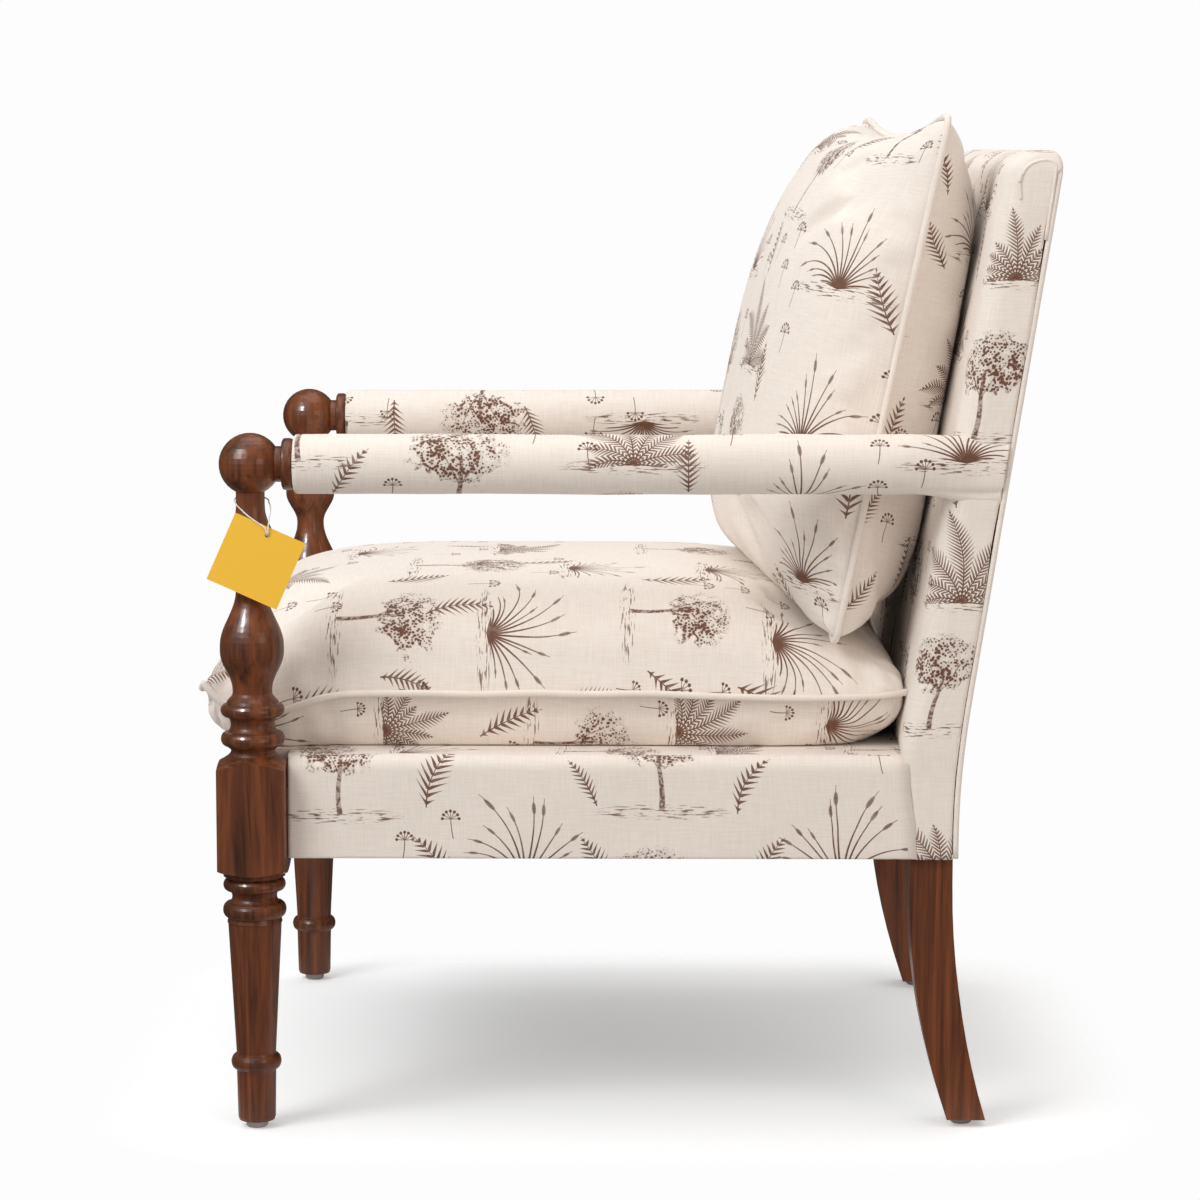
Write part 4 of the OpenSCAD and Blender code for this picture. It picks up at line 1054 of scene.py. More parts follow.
@dataclass
class BackUpholstery:
    """The padded back, its outside panel and the piping between them.

    Attributes:
        shop: Where the finishes and the chair's sizes are.
        front_round: How far the front is drawn in over the rounding along the top.
        rear_round: The same at the rear.
        side_round: The same at the sides.
        corner_levels: Heights over the deck at which the front corners' radii are given.
        corner_radii: Those radii in millimetres.
        corner_loss: How much smaller the front corners get over the rounding along the top.
        swell_from: Height over the deck at which the front begins to swell.
        rear_corner: Radius of the rear corners.
        piping_r: Radius of the piping.
        fold_r: Radius of the folded seam round the top of a side.
        fold_route: How far below the top and in from the rear each point of it lies, in
            millimetres.
        panel_corner: Radius of the outside panel's upper corners.
        piping_bend: Radius of the piping's bend round them.
        levels: Rings of the upright part.
        top_levels: Rings of the rounding along the top.
    """

    shop: Upholsterer
    front_round: float = 25 * MM
    rear_round: float = 14 * MM
    side_round: float = 9 * MM
    corner_levels: tuple[float, float, float] = (-0.06, 0, 0.07)
    corner_radii: tuple[float, float, float] = (9, 11, 22)
    corner_loss: float = 15 * MM
    swell_from: float = 0.032
    rear_corner: float = 3.4 * MM
    piping_r: float = 2.6 * MM
    fold_r: float = 1.5 * MM
    fold_route: tuple[tuple[float, float], ...] = (
        (44, 34), (34, 36.5), (26, 38), (17, 35), (11.5, 29), (9, 21), (9, 14), (11, 9.5),
        (16, 7.2), (26, 6.6), (44, 6.2), (80, 5.6),
    )
    panel_corner: float = 5 * MM
    piping_bend: float = 6 * MM
    levels: int = 92
    top_levels: int = 14

    def levels_up(self) -> tuple[Array, Array]:
        """Heights of the rings, and the angle of the top's rounding at each, 0 below it."""
        chair = self.shop.chair
        straight = np.linspace(chair.band_z, chair.back_z - chair.top_r, self.levels)
        angle = np.linspace(0, np.pi / 2, self.top_levels + 1)[1:]
        round_z = chair.back_z - chair.top_r * (1 - np.sin(angle))
        return np.concatenate([straight, round_z]), np.concatenate([np.zeros(self.levels), angle])

    def body(self) -> Object:
        """The padded body: rings of rounded outline, one above the other.

        Each ring runs round the front, a side, the rear and the other side; its corners are arcs
        and its front swells by crown (1 - t^2), where t is the place across from -1 to 1.
        """
        chair = self.shop.chair
        z, angle = self.levels_up()
        drawn = 1 - np.cos(angle)
        half = (chair.side_x - self.side_round * drawn)[:, None]
        front = (chair.front(z) + self.front_round * drawn)[:, None]
        over = ease((z - self.panel_top()) / (4.5 * MM))
        rear = (chair.rear(z) - chair.shell * (1 - over) - self.rear_round * drawn)[:, None]
        corner_z = chair.deck_z + np.array(self.corner_levels)
        radius = np.interp(z, corner_z, np.array(self.corner_radii) * MM)
        corner = (radius - self.corner_loss * drawn)[:, None]
        low = chair.deck_z + self.swell_from
        rise = np.clip((z - low) / (chair.back_z - low), 0, 1)
        swell = (chair.crown * np.sin(np.pi * rise) * (1 - drawn))[:, None]

        turn_cols, front_cols, side_cols, rear_turn_cols, rear_cols = 9, 27, 12, 4, 14
        turn = np.linspace(np.pi, 1.5 * np.pi, turn_cols)[None]
        across = np.linspace(-1, 1, front_cols)[None, 1:-1]
        down_side = np.linspace(0, 1, side_cols)[None, 1:-1]
        rear_turn = np.linspace(0, np.pi / 2, rear_turn_cols)[None]
        inner = half - corner
        side_from, side_to = front + corner, rear - self.rear_corner
        side_y = side_from + (side_to - side_from) * down_side
        side_x = np.broadcast_to(half, side_y.shape)
        tight = half - self.rear_corner
        back_x = tight * np.linspace(1, -1, rear_cols)[None, 1:-1]
        xs = [
            -inner + corner * np.cos(turn),
            inner * across,
            inner - corner * np.cos(turn[:, ::-1]),
            side_x,
            tight + self.rear_corner * np.cos(rear_turn),
            back_x,
            -tight - self.rear_corner * np.cos(rear_turn[:, ::-1]),
            -side_x,
        ]
        corner_y = front + corner + corner * np.sin(turn)
        rear_y = side_to + self.rear_corner * np.sin(rear_turn)
        ys = [
            corner_y,
            front - swell * (1 - across**2),
            corner_y[:, ::-1],
            side_y,
            rear_y,
            np.broadcast_to(rear, back_x.shape),
            rear_y[:, ::-1],
            side_y[:, ::-1],
        ]
        x, y = np.hstack(xs), np.hstack(ys)
        points = joined(x, y, z[:, None])
        uneven = quiet_waves(points, 0.11, 5) * 0.7 * MM + quiet_waves(points, 0.045, 6) * 0.25 * MM
        calm = np.clip((chair.back_z - z) / 0.05, 0, 1) * np.clip((z - chair.band_z) / 0.03, 0, 1)
        points = raised(points, uneven * calm[:, None])

        around = run_length(looped(points, 1)[..., :2], 1)
        middle = turn_cols + front_cols // 2 - 1
        around -= around[:, middle : middle + 1]
        up = run_length(points[:, middle])
        cloth = joined(around, up[:, None]) + (0.03, 0.05)
        sheet = Sheet(chair.placed(points), cloth, ring=True, capped=True, cap_from=middle)
        piece = make_piece("inside_back", [sheet])
        self.shop.dress(piece, "fabric", Body.CHAIR, "back_cover", "back_pad")
        return piece

    def panel_half(self) -> float:
        """Half the width of the outside panel, which stops at the piping."""
        return self.shop.chair.side_x - 2 * self.piping_r - self.shop.chair.fit

    def panel_top(self) -> float:
        """Height of the outside panel, which stops under the piping."""
        chair = self.shop.chair
        return chair.back_z - chair.top_r * 0.7 - 2 * self.piping_r - chair.fit

    def outside(self) -> Object:
        """The outside back: a thin panel with rounded top corners, pulled a little hollow.

        Its half width at height z is cut by the corner's arc; its rear face lies on the rear line,
        less a hollow of about a millimetre in the middle.
        """
        chair = self.shop.chair
        half, top, corner = self.panel_half(), self.panel_top(), self.panel_corner
        turn = np.linspace(0, np.pi / 2, 7)[1:]
        straight = np.linspace(chair.band_z, top - corner, 44)
        z = np.concatenate([straight, top - corner * (1 - np.sin(turn))])
        over = np.clip(z - (top - corner), 0, corner)
        width = half - corner + np.sqrt(corner**2 - over**2)
        u = spread(36)[None]
        x = width[:, None] * u
        level = np.broadcast_to(z[:, None], x.shape)
        v = np.clip(2 * (z - chair.band_z) / (top - chair.band_z) - 1, -1, 1)[:, None]
        flat = dome(u, v, 6, 6, 0.5)
        waves = quiet_waves(joined(x, 0.0, level), 0.13, 9)
        hollow = flat * np.clip(0.8 + 0.5 * waves, 0, 1.4) * MM
        outer = chair.rear(level) - 0.3 * MM - hollow - 0.8 * MM * (1 - flat)
        inner = chair.rear(level) - 2.4 * MM
        cloth = joined(-x, level) + (0.11, 0.02)
        faces = [chair.placed(joined(x, y, level)) for y in (outer, inner)]
        wall = np.stack([edge_loop(face) for face in faces])
        rim_cloth = looped(edge_loop(cloth))
        sheets = [Sheet(face, cloth) for face in faces]
        sheets.append(Sheet(wall, np.stack([rim_cloth, rim_cloth]), ring=True))
        piece = make_piece("outside_back_panel", sheets, merge=0.01 * MM)
        self.shop.dress(piece, "fabric", Body.CHAIR, "outside_back")
        return piece

    def piping(self) -> Object:
        """The piping: up one rear edge, round the corner, along the top and down the other edge."""
        chair = self.shop.chair
        edge_x, bend = chair.side_x - self.piping_r, self.piping_bend
        top = self.panel_top() + chair.fit + self.piping_r
        up = np.linspace(chair.band_z + 1 * MM, top - bend, 60)
        angle = np.linspace(0, np.pi / 2, 9)[1:]
        half_x = np.concatenate([np.full(60, edge_x), edge_x - bend * (1 - np.cos(angle))])
        half_z = np.concatenate([up, top - bend * (1 - np.sin(angle))])
        flat_x = np.linspace(edge_x - bend, bend - edge_x, 42)[1:-1]
        x = np.concatenate([half_x, flat_x, -half_x[::-1]])
        z = np.concatenate([half_z, np.full(len(flat_x), top), half_z[::-1]])
        path = chair.placed(joined(x, chair.rear(z) - self.piping_r, z))
        path += quiet_waves(path, 0.09, 15)[:, None] * np.array([0.25, 0.1, 0.1]) * MM
        piece = make_piece("back_piping", [tube_sheet(path, self.piping_r, 12, (0, 1, 0))])
        return self.shop.dress(piece, "piping", Body.CHAIR, "back_welt")

    def fold(self, side: Side) -> Object:
        """The folded seam on a side: from the pleat at the front over an arch and down the rear.

        Its points are kept on the side's surface, which is drawn in along the top by
        side_round (1 - cos a) where sin a is the share of the way up the rounding.
        """
        chair = self.shop.chair
        below, inside = np.array(self.fold_route).T * MM
        z, inwards, _ = smoothed(joined(chair.back_z - below, inside, 0.0), 5).T
        up = np.clip((z - chair.back_z + chair.top_r) / chair.top_r, 0, 1)
        drawn = 1 - np.sqrt(1 - up**2)
        x = (chair.side_x - self.side_round * drawn - 0.25 * self.fold_r) * side.value
        path = chair.placed(joined(x, chair.rear(z) - inwards, z))
        tube = tube_sheet(path, self.fold_r, 8, (0, 0.01, 1))
        return self.shop.dress(make_piece(side.node("side_fold"), [tube]), "piping", Body.CHAIR)

    def build(self) -> None:
        """Makes the back's pieces."""
        self.body()
        self.outside()
        self.piping()
        for side in Side:
            self.fold(side)


@dataclass
class SeatUpholstery:
    """The band round the seat with its deck, and the dark cloth under it.

    Attributes:
        shop: Where the finishes and the chair's sizes are.
        rounding: Radius of the band's top edge.
        corner: Radius where the cloth turns in beside a post.
        hem: Height over the lower edge and inset of each ring of the hem, in millimetres.
        inset: How far the dark cloth's edge stays from the band's face.
        overlap: How far the band reaches past the front of the back.
    """

    shop: Upholsterer
    rounding: float = 13 * MM
    corner: float = 4 * MM
    hem: tuple[tuple[float, float], ...] = (
        (2.6, 34), (1.5, 30), (1.2, 3), (0.3, 1.4), (0.9, 0.2)
    )
    inset: float = 11 * MM
    overlap: float = 5 * MM

    def outline(self, draw_in: float, clear: float, z: float) -> Array:
        """Plan of the seat with a notch for each post.

        Args:
            draw_in: How far the outer faces are drawn in.
            clear: Gap to the posts.
            z: Height, at which the plan ends inside the front of the back.

        Returns:
            Points of x and y, once round from the rear right over the front to the rear left.
        """
        chair = self.shop.chair
        half, front = chair.side_x - draw_in, chair.front_y + draw_in
        notch_x = chair.post_x - chair.post_half - clear
        notch_y = chair.post_half + clear
        rear = chair.front(z) + self.overlap
        r, count = self.corner, 40
        turn = np.linspace(0, np.pi / 2, 6)
        side = joined(half, np.linspace(rear, notch_y + r, count))
        first = joined(half - r + r * np.cos(turn), notch_y + r - r * np.sin(turn))
        inwards = joined(np.linspace(half - r, notch_x, 10), notch_y)
        forwards = joined(notch_x, np.linspace(notch_y, front + r, 12))
        second = joined(notch_x - r + r * np.cos(turn), front + r - r * np.sin(turn))
        across = joined(np.linspace(notch_x - r, 0, count), front)
        runs = [side, first[1:], inwards[1:], forwards[1:], second[1:], across[1:]]
        left = np.vstack(runs)
        right = left[-2::-1] * np.array([-1, 1])
        return np.vstack([left, right])

    def band(self) -> Object:
        """The band and deck: outlines at rising heights.

        From the hem under the rails the cloth turns up the faces and over a quarter round. The
        deck is cut from a panel of its own, whose rings open out from the middle to that edge.
        """
        chair = self.shop.chair
        low, top, r = chair.band_z, chair.deck_z, self.rounding
        angle = np.linspace(0, np.pi / 2, 9)
        steps = [(low + up * MM, inset * MM) for up, inset in self.hem]
        steps += [(z, 0.0) for z in np.linspace(low + 3 * MM, top - r, 16)]
        steps += [(top - r * (1 - math.sin(a)), r * (1 - math.cos(a))) for a in angle[1:]]
        points = np.stack([joined(*self.outline(inset, chair.fit, z).T, z) for z, inset in steps])
        middle = np.array([0, (chair.front_y + chair.foot_y) / 2, top])
        share = np.array([0.2, 0.5, 0.75, 0.9, 0.97])[:, None, None]
        deck = middle + (points[-1][None] - middle) * share
        deck[..., 2] = top - 1.5 * MM * (1 - share[..., 0])
        faces = raised(points, self.unevenness(points))
        deck = np.concatenate([deck, faces[-1:]])
        along = run_length(looped(faces[8]))
        front = len(along) // 2
        ups = run_length(faces[:, front])
        flat = looped(deck, 1)[..., :2] - np.array([0, faces[-1, front, 1] - ups[-1]])
        sheets = [
            Sheet(chair.placed(grid), cloth + (0.37, 0.013), ring=True, capped=True, open_end=True)
            for grid, cloth in ((faces, joined(along[front] - along, ups[:, None])), (deck, flat))
        ]
        piece = make_piece("seat_band", sheets, merge=0.01 * MM)
        self.shop.dress(piece, "fabric", Body.CHAIR, "seat_cover", "deck_pad")
        return piece

    def unevenness(self, points: Array) -> Array:
        """Small swells of the padded faces, none at the hem and beside the posts."""
        chair = self.shop.chair
        z = points[..., 2]
        calm = np.clip((z - chair.band_z) / (18 * MM), 0, 1)
        gap_x = np.abs(np.abs(points[..., 0]) - chair.post_x + chair.post_half)
        gap_y = np.maximum(0, points[..., 1] - chair.post_half)
        beside = np.clip(np.hypot(gap_x, gap_y) / 0.04, 0, 1)
        return quiet_waves(points, 0.12, 21) * 0.8 * MM * calm * beside

    def dark_cloth(self) -> Object:
        """The cloth stapled under the rails: notched at the posts, sagging 3 mm in the middle."""
        chair = self.shop.chair
        edge = self.outline(self.inset, 3 * MM, chair.band_z)
        middle = np.array([0, (chair.front_y + chair.foot_y) / 2])
        shares = np.linspace(1, 0.04, 14)
        plan = middle + (edge[None] - middle) * shares[:, None, None]
        z = (chair.band_z + 0.9 * MM - 3 * MM * (1 - shares**4))[:, None]
        under, over = [joined(plan[..., 0], plan[..., 1], z + thick) for thick in (0.0, 0.6 * MM)]
        points = np.concatenate([under[::-1], over])
        sheet = Sheet(chair.placed(points), looped(points, 1)[..., :2], ring=True, capped=True)
        piece = make_piece("dust_cloth", [sheet])
        self.shop.dress(piece, "dark_cloth", Body.CHAIR, "dust_cover")
        return piece

    def build(self) -> None:
        """Makes the band and the cloth under it."""
        self.band()
        self.dark_cloth()


@dataclass
class PaddedArm:
    """One round padded arm.

    Attributes:
        shop: Where the finishes and the chair's sizes are.
        side: The side of the chair that it is on.
        nose: How far behind the front end and how much thinner each ring there is, in millimetres.
        tail: How far before the rear end and how much flatter outside each ring there is.
        flare_from: Distance from the posts' axis at which the arm starts to widen downwards.
        flare_run: Length over which it widens.
        flare: How far its lower side drops at the rear.
        proud: How far its outer side stands off the back's side at the rear.
        seam_at: Angle of the cover's seam, under the arm and towards the seat.
        furrows: Start, climb and angle of each furrow where the cover is drawn round to the back.
        furrow: Depth of a furrow.
        furrow_width: Its width, as an angle.
        rings: Rings along the arm.
        around: Points round a ring.
    """

    shop: Upholsterer
    side: Side
    nose: tuple[tuple[float, float], ...] = ((0, 5), (0.25, 3), (0.9, 1.6), (2, 0.6), (4, 0))
    tail: tuple[tuple[float, float], ...] = ((1.2, 0.2), (0.3, 0.7), (0, 1.9))
    flare_from: float = 0.596
    flare_run: float = 0.08
    flare: float = 9.5 * MM
    proud: float = 6 * MM
    seam_at: float = math.radians(-115)
    furrows: tuple = ((0.596, 3.4, -1.02), (0.625, 1.2, -0.86), (0.625, -2.0, 1.02))
    furrow: float = 1.1 * MM
    furrow_width: float = 3.2 / 27
    rings: int = 180
    around: int = 96

    def build(self) -> Object:
        """A tube whose ring at y is an ellipse with its own upper, lower and outer reach.

        Towards the rear its outer side comes in to the side of the back, and its rings tilt until
        the last one follows the back's rear edge.
        """
        chair = self.shop.chair
        end = chair.rear(chair.arm_z) - 5.6 * MM
        (behind, thinner), (before, flatter) = [np.array(e).T * MM for e in (self.nose, self.tail)]
        front = chair.sleeve_y + behind
        middle = np.linspace(front[-1], end - 3 * MM, self.rings)[1:]
        y = np.concatenate([front, middle, end - before])
        shrink = np.zeros(len(y))
        shrink[: len(thinner)] = thinner
        widen = ease((y - self.flare_from) / self.flare_run)
        settle = ease((y - self.flare_from + 0.02) / (end - self.flare_from + 0.012))
        angle = self.seam_at + np.linspace(0, 2 * np.pi, self.around, endpoint=False)[None]
        lower = chair.arm_r + self.flare * widen - shrink
        upper = chair.arm_r - 2 * MM * widen - shrink
        flush = chair.side_x + self.proud - chair.post_x
        outer = chair.arm_r + (flush - chair.arm_r) * settle - shrink
        outer[-len(flatter) :] -= flatter
        inner = chair.arm_r - shrink
        tall = np.where(np.sin(angle) > 0, upper[:, None], lower[:, None])
        wide = np.where(np.cos(angle) > 0, outer[:, None], inner[:, None])
        x = (chair.post_x + wide * np.cos(angle)) * self.side.value
        z = chair.arm_z + tall * np.sin(angle)
        tilt = (chair.rear(z) - chair.rear(chair.arm_z)) * settle[:, None]
        points = joined(x, y[:, None] + tilt, z)
        uneven = quiet_waves(points, 0.07, 31 + self.side.value) * 0.35 * MM
        calm = np.clip((y - chair.sleeve_y) / 0.02, 0, 1)[:, None]
        points = raised(points, uneven * calm - self.pull_lines(y, angle))
        turn = np.linspace(0, 2 * np.pi, self.around + 1) * chair.arm_r
        cut_at = (0.02, 0.233 if self.side is Side.LEFT else 0.71)
        cloth = joined(y[:, None], turn) + cut_at
        sheet = Sheet(chair.placed(points), cloth, ring=True, capped=True)
        piece = make_piece(self.side.node("arm_sleeve"), [sheet])
        nodes = [self.side.node("arm_cover"), self.side.node("arm_pad")]
        self.shop.dress(piece, "fabric", Body.CHAIR, *nodes)
        return piece

    def pull_lines(self, y: Array, angle: Array) -> Array:
        """Shallow furrows: each is a Gaussian valley across a line that climbs or falls with y."""
        depth = np.zeros((len(y), angle.shape[1]))
        for start, climb, at in self.furrows:
            past = np.maximum(0, y - start)
            line = at + climb * past
            off = np.mod(angle - line[:, None] + np.pi, 2 * np.pi) - np.pi
            away = off / self.furrow_width
            depth += self.furrow * np.exp(-(away**2)) * ease(past / 0.03)[:, None]
        return depth


# Loose cushions


@dataclass(frozen=True)
class Filling:
    """How a filling pushes out its case, worked out with cloth simulation.

    Attributes:
        pressure: Pressure inside the case.
        slack: Share by which the case is larger than the filling needs, which puckers it.
        steps: Simulated frames.
        pucker: Depth of the puckers along the seam.
        pucker_run: How far they reach in from it.
    """

    pressure: float = 3.5
    slack: float = 0.05
    steps: int = 20
    pucker: float = 2.4 * MM
    pucker_run: float = 24 * MM

    def gather(self, piece: Object, seam: Array) -> None:
        """Puckers the case along its seam.

        Each point moves along its normal by a wave that follows the seam, is nothing at the seam
        itself, deepest a little way in and gone after a few times pucker_run. A slower wave changes
        its depth, so that it comes in patches. Their rates are in radians for each metre of seam.

        Args:
            piece: The closed case.
            seam: Points of the seam, once round.
        """
        rest = points_of(piece.data)
        normals = np.empty(rest.size)
        piece.data.vertex_normals.foreach_get("vector", normals)
        away, number = nearest(rest, seam)
        at = run_length(looped(seam))[number]
        wave = np.sin(at * 205 + 1.3 * np.sin(at * 31)) + 0.6 * np.sin(at * 127 + 2.0)
        patch = np.clip(0.55 + 0.75 * np.sin(at * 17 + 0.8) * np.sin(at * 7.3), 0, 1)
        share = away / self.pucker_run
        depth = self.pucker * wave * patch * share * np.exp(1 - share * 1.6)
        move_to(piece.data, rest + normals.reshape(-1, 3) * depth[:, None])

    def push_out(self, piece: Object, reach: Array) -> None:
        """Lets the case swell and pucker, and holds every point within its reach.

        Args:
            piece: The closed case; points with no reach are pinned.
            reach: How far each point may move.
        """
        rest = points_of(piece.data)
        pins = piece.vertex_groups.new(name="seam")
        pins.add(np.flatnonzero(reach <= 0).tolist(), 1.0, "REPLACE")
        modifier = piece.modifiers.new("case", "CLOTH")
        cloth = modifier.settings
        cloth.quality = 6
        cloth.mass = 0.25
        cloth.tension_stiffness = 20
        cloth.compression_stiffness = 12
        cloth.shear_stiffness = 6
        cloth.bending_stiffness = 0.6
        cloth.vertex_group_mass = pins.name
        cloth.use_pressure = True
        cloth.uniform_pressure_force = self.pressure
        cloth.shrink_min = -self.slack
        cloth.effector_weights.gravity = 0
        modifier.point_cache.frame_start = 1
        modifier.point_cache.frame_end = self.steps
        scene = bpy.context.scene
        for step in range(1, self.steps + 1):
            scene.frame_set(step)
        held = piece.evaluated_get(bpy.context.evaluated_depsgraph_get())
        shift = points_of(held.to_mesh()) - rest
        held.to_mesh_clear()
        piece.modifiers.remove(modifier)
        piece.vertex_groups.remove(pins)
        scene.frame_set(1)
        size = np.linalg.norm(shift, axis=1)
        limit = reach * np.tanh(size / np.maximum(reach, 1e-9))
        shift *= (limit / np.maximum(size, 1e-12))[:, None]
        move_to(piece.data, rest + shift)
        LOG.info("%s: the case moved by up to %.1f mm", piece.name, limit.max() / MM)


@dataclass
class LooseCushion(ABC):
    """A case of two panels with its filling, and the piping in its seam.

    Attributes:
        shop: Where the finishes and the chair's sizes are.
    """

    shop: Upholsterer

    def sew(self, node: str, body: Body, panels: Sequence[Sheet], filling: Filling) -> None:
        """Makes the case, fills it and puckers it along the seam.

        Args:
            node: The node that it stands for.
            body: The body that it rides on.
            panels: The two panels, whose edges meet.
            filling: The filling.
        """
        seam = edge_loop(panels[0].points)
        case = make_piece(f"{node}_case", panels, merge=0.02 * MM)
        places = points_of(case.data)
        filling.push_out(case, self.reach(places, nearest(places, seam)[0]))
        filling.gather(case, seam)
        fine = case.modifiers.new("fine", "SUBSURF")
        fine.levels = fine.render_levels = 1
        self.shop.dress(case, "fabric", body, node)

    def pipe(self, node: str, body: Body, path: Array, radius: float, up: Sequence[float]) -> None:
        """Makes the piping along a closed path, square to the seam's own upward direction."""
        piping = make_piece(f"{node}_piping", [tube_sheet(path, radius, 12, up, True)])
        self.shop.dress(piping, "piping", body, f"{node}_welt")

    @abstractmethod
    def reach(self, points: Array, near: Array) -> Array:
        """How far each point of the case may move, with its distance from the seam given."""


@dataclass
class SeatCushion(LooseCushion):
    """The loose seat cushion: two panels that meet in a piped seam half way up.

    Attributes:
        draw: How far the middle of each side is drawn in.
        draw_end: The same at the front and the rear.
        blunt: How far the corners are rounded off.
        ahead: How far it is drawn out towards the front.
        behind: The same towards the rear.
        seam_rise: Height of the seam over the deck.
        crown: Height of the upper panel over the seam.
        ear: Lift of the seam at the front corners.
        rear_ear: The same at the rear corners.
        sag: How far the seam sinks towards the rear of the sides.
        post_dip: How far it dips beside the front posts.
        dip_y: Distance of the dip's middle from the posts' axis.
        dip_fore: Reach of the dip towards the front.
        dip_aft: The same towards the rear.
        piping_r: Radius of the piping.
        seam_reach: From the seam's outline to the outer side of the piping.
        seam_gap: From the panels' edge to the piping's surface.
        cols: Points of a panel across.
        rows: Points of a panel from front to rear.
        filling: How the filling pushes out the case.
    """

    draw: float = 5 * MM
    draw_end: float = 12 * MM
    blunt: float = 7 * MM
    ahead: float = 9 * MM
    behind: float = 20 * MM
    seam_rise: float = 52 * MM
    crown: float = 94 * MM
    ear: float = 14 * MM
    rear_ear: float = 3 * MM
    sag: float = 4 * MM
    post_dip: float = 22 * MM
    dip_y: float = 5 * MM
    dip_fore: float = 45 * MM
    dip_aft: float = 50 * MM
    piping_r: float = 3.3 * MM
    seam_reach: float = 5.7 * MM
    seam_gap: float = 0.3 * MM
    cols: int = 94
    rows: int = 100
    filling: Filling = Filling()

    def __post_init__(self) -> None:
        """Reads the cushion's width and ends from the frame."""
        low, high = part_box("seat_cushion")
        self.half = high.x
        self.half_deep = (high.y - low.y) / 2
        self.middle = (high.y + low.y) / 2 - self.shop.chair.post_y

    def half_run(self, u: Array, rearward: Array) -> Array:
        """From the middle to the front or the rear edge at a place across."""
        drawn_out = np.where(rearward, self.behind, self.ahead)
        return self.half_deep - self.draw_end * (1 - u**2) + drawn_out

    def plan(self, u: Array, v: Array, grow: float = 0.0) -> tuple[Array, Array]:
        """Plan position of a grid point, grown outwards; the sides are drawn in as 1 - v^2."""
        blunt = (self.blunt + 0.3 * grow) * np.abs(u * v) ** 14
        x = u * (self.half + grow - self.draw * (1 - v**2) - blunt)
        y = self.middle + v * (self.half_run(u, v > 0) + grow - blunt)
        return x, y

    def seam(self, u: Array, v: Array) -> Array:
        """Height of the seam: level, lifted at the corners and dipping beside the posts.

        The dip is a bell curve along the side, steeper towards the front.
        """
        chair = self.shop.chair
        y = self.middle + v * self.half_deep
        past = y - self.dip_y
        run = np.where(past > 0, self.dip_aft, self.dip_fore)
        beside = np.exp(-((past / run) ** 2)) * np.abs(u) ** 8
        rearward = np.exp(-(((v - 0.7) / 0.3) ** 2)) * np.abs(u) ** 4
        corner = np.where(v > 0, self.rear_ear, self.ear) * np.abs(u * v) ** 14
        level = chair.deck_z + self.seam_rise
        return level + corner - self.sag * rearward - self.post_dip * beside

    def upper(self, u: Array, v: Array) -> Array:
        """Height of the upper panel: the seam plus the crown, pressed down under the pillow."""
        press = 1 - 0.1 * (np.maximum(0, v - 0.35) / 0.65) ** 1.5
        return self.seam(u, v) + self.crown * dome(u, v, 4, np.where(v > 0, 4, 5), 0.4) * press

    def lower(self, u: Array, v: Array) -> Array:
        """Height of the lower panel, which lies flat on the deck in the middle."""
        deep = self.seam(u, v) - 1.6 * self.seam_rise * dome(u, v, 4, 4, 0.32)
        return np.maximum(self.shop.chair.deck_z + self.shop.chair.fit, deep)

    def height_at(self, x: Array, y: Array) -> Array:
        """Height of the cushion's top at a plan position, 0 beside it."""
        v = (y - self.middle) / self.half_deep
        u = x / (self.half - self.draw * (1 - v**2))
        v = (y - self.middle) / self.half_run(u, v > 0)
        on = (np.abs(u) < 1) & (np.abs(v) < 1)
        return np.where(on, self.upper(np.clip(u, -1, 1), np.clip(v, -1, 1)), 0.0)

    def build(self) -> None:
        """Makes the case and its piping."""
        chair = self.shop.chair
        u, v = np.meshgrid(spread(self.cols), spread(self.rows))
        x, y = self.plan(u, v, self.seam_reach - 2 * self.piping_r - self.seam_gap)
        panels = []
        for z, shift in ((self.upper(u, v), (0.41, 0.09)), (self.lower(u, v), (0.83, 0.53))):
            points = joined(x, y, z)
            panels.append(Sheet(chair.placed(points), laid_out(points) + shift))
        self.sew("seat_cushion", Body.CUSHION, panels, self.filling)
        u, v = square_seam(150)
        x, y = self.plan(u, v, self.seam_reach - self.piping_r)
        path = chair.placed(joined(x, y, self.seam(u, v)))
        path[:, 2] += quiet_waves(path, 0.08, 41) * 0.7 * MM
        self.pipe("seat_cushion", Body.CUSHION, path, self.piping_r, (0, 0, 1))

    def reach(self, points: Array, near: Array) -> Array:
        """How far each point of the case may move: not at all at the seam and on the deck."""
        chair = self.shop.chair
        lift = points[:, 2] - chair.deck_z - chair.fit
        lying = np.clip(lift / 0.03, 0, 1) * np.clip((lift - 0.2 * MM) / (1 * MM), 0, 1)
        behind = np.clip((chair.front(points[:, 2]) + chair.post_y - points[:, 1]) / 0.03, 0, 1)
        return np.clip(0.3 * near, 0, 7 * MM) * lying * behind


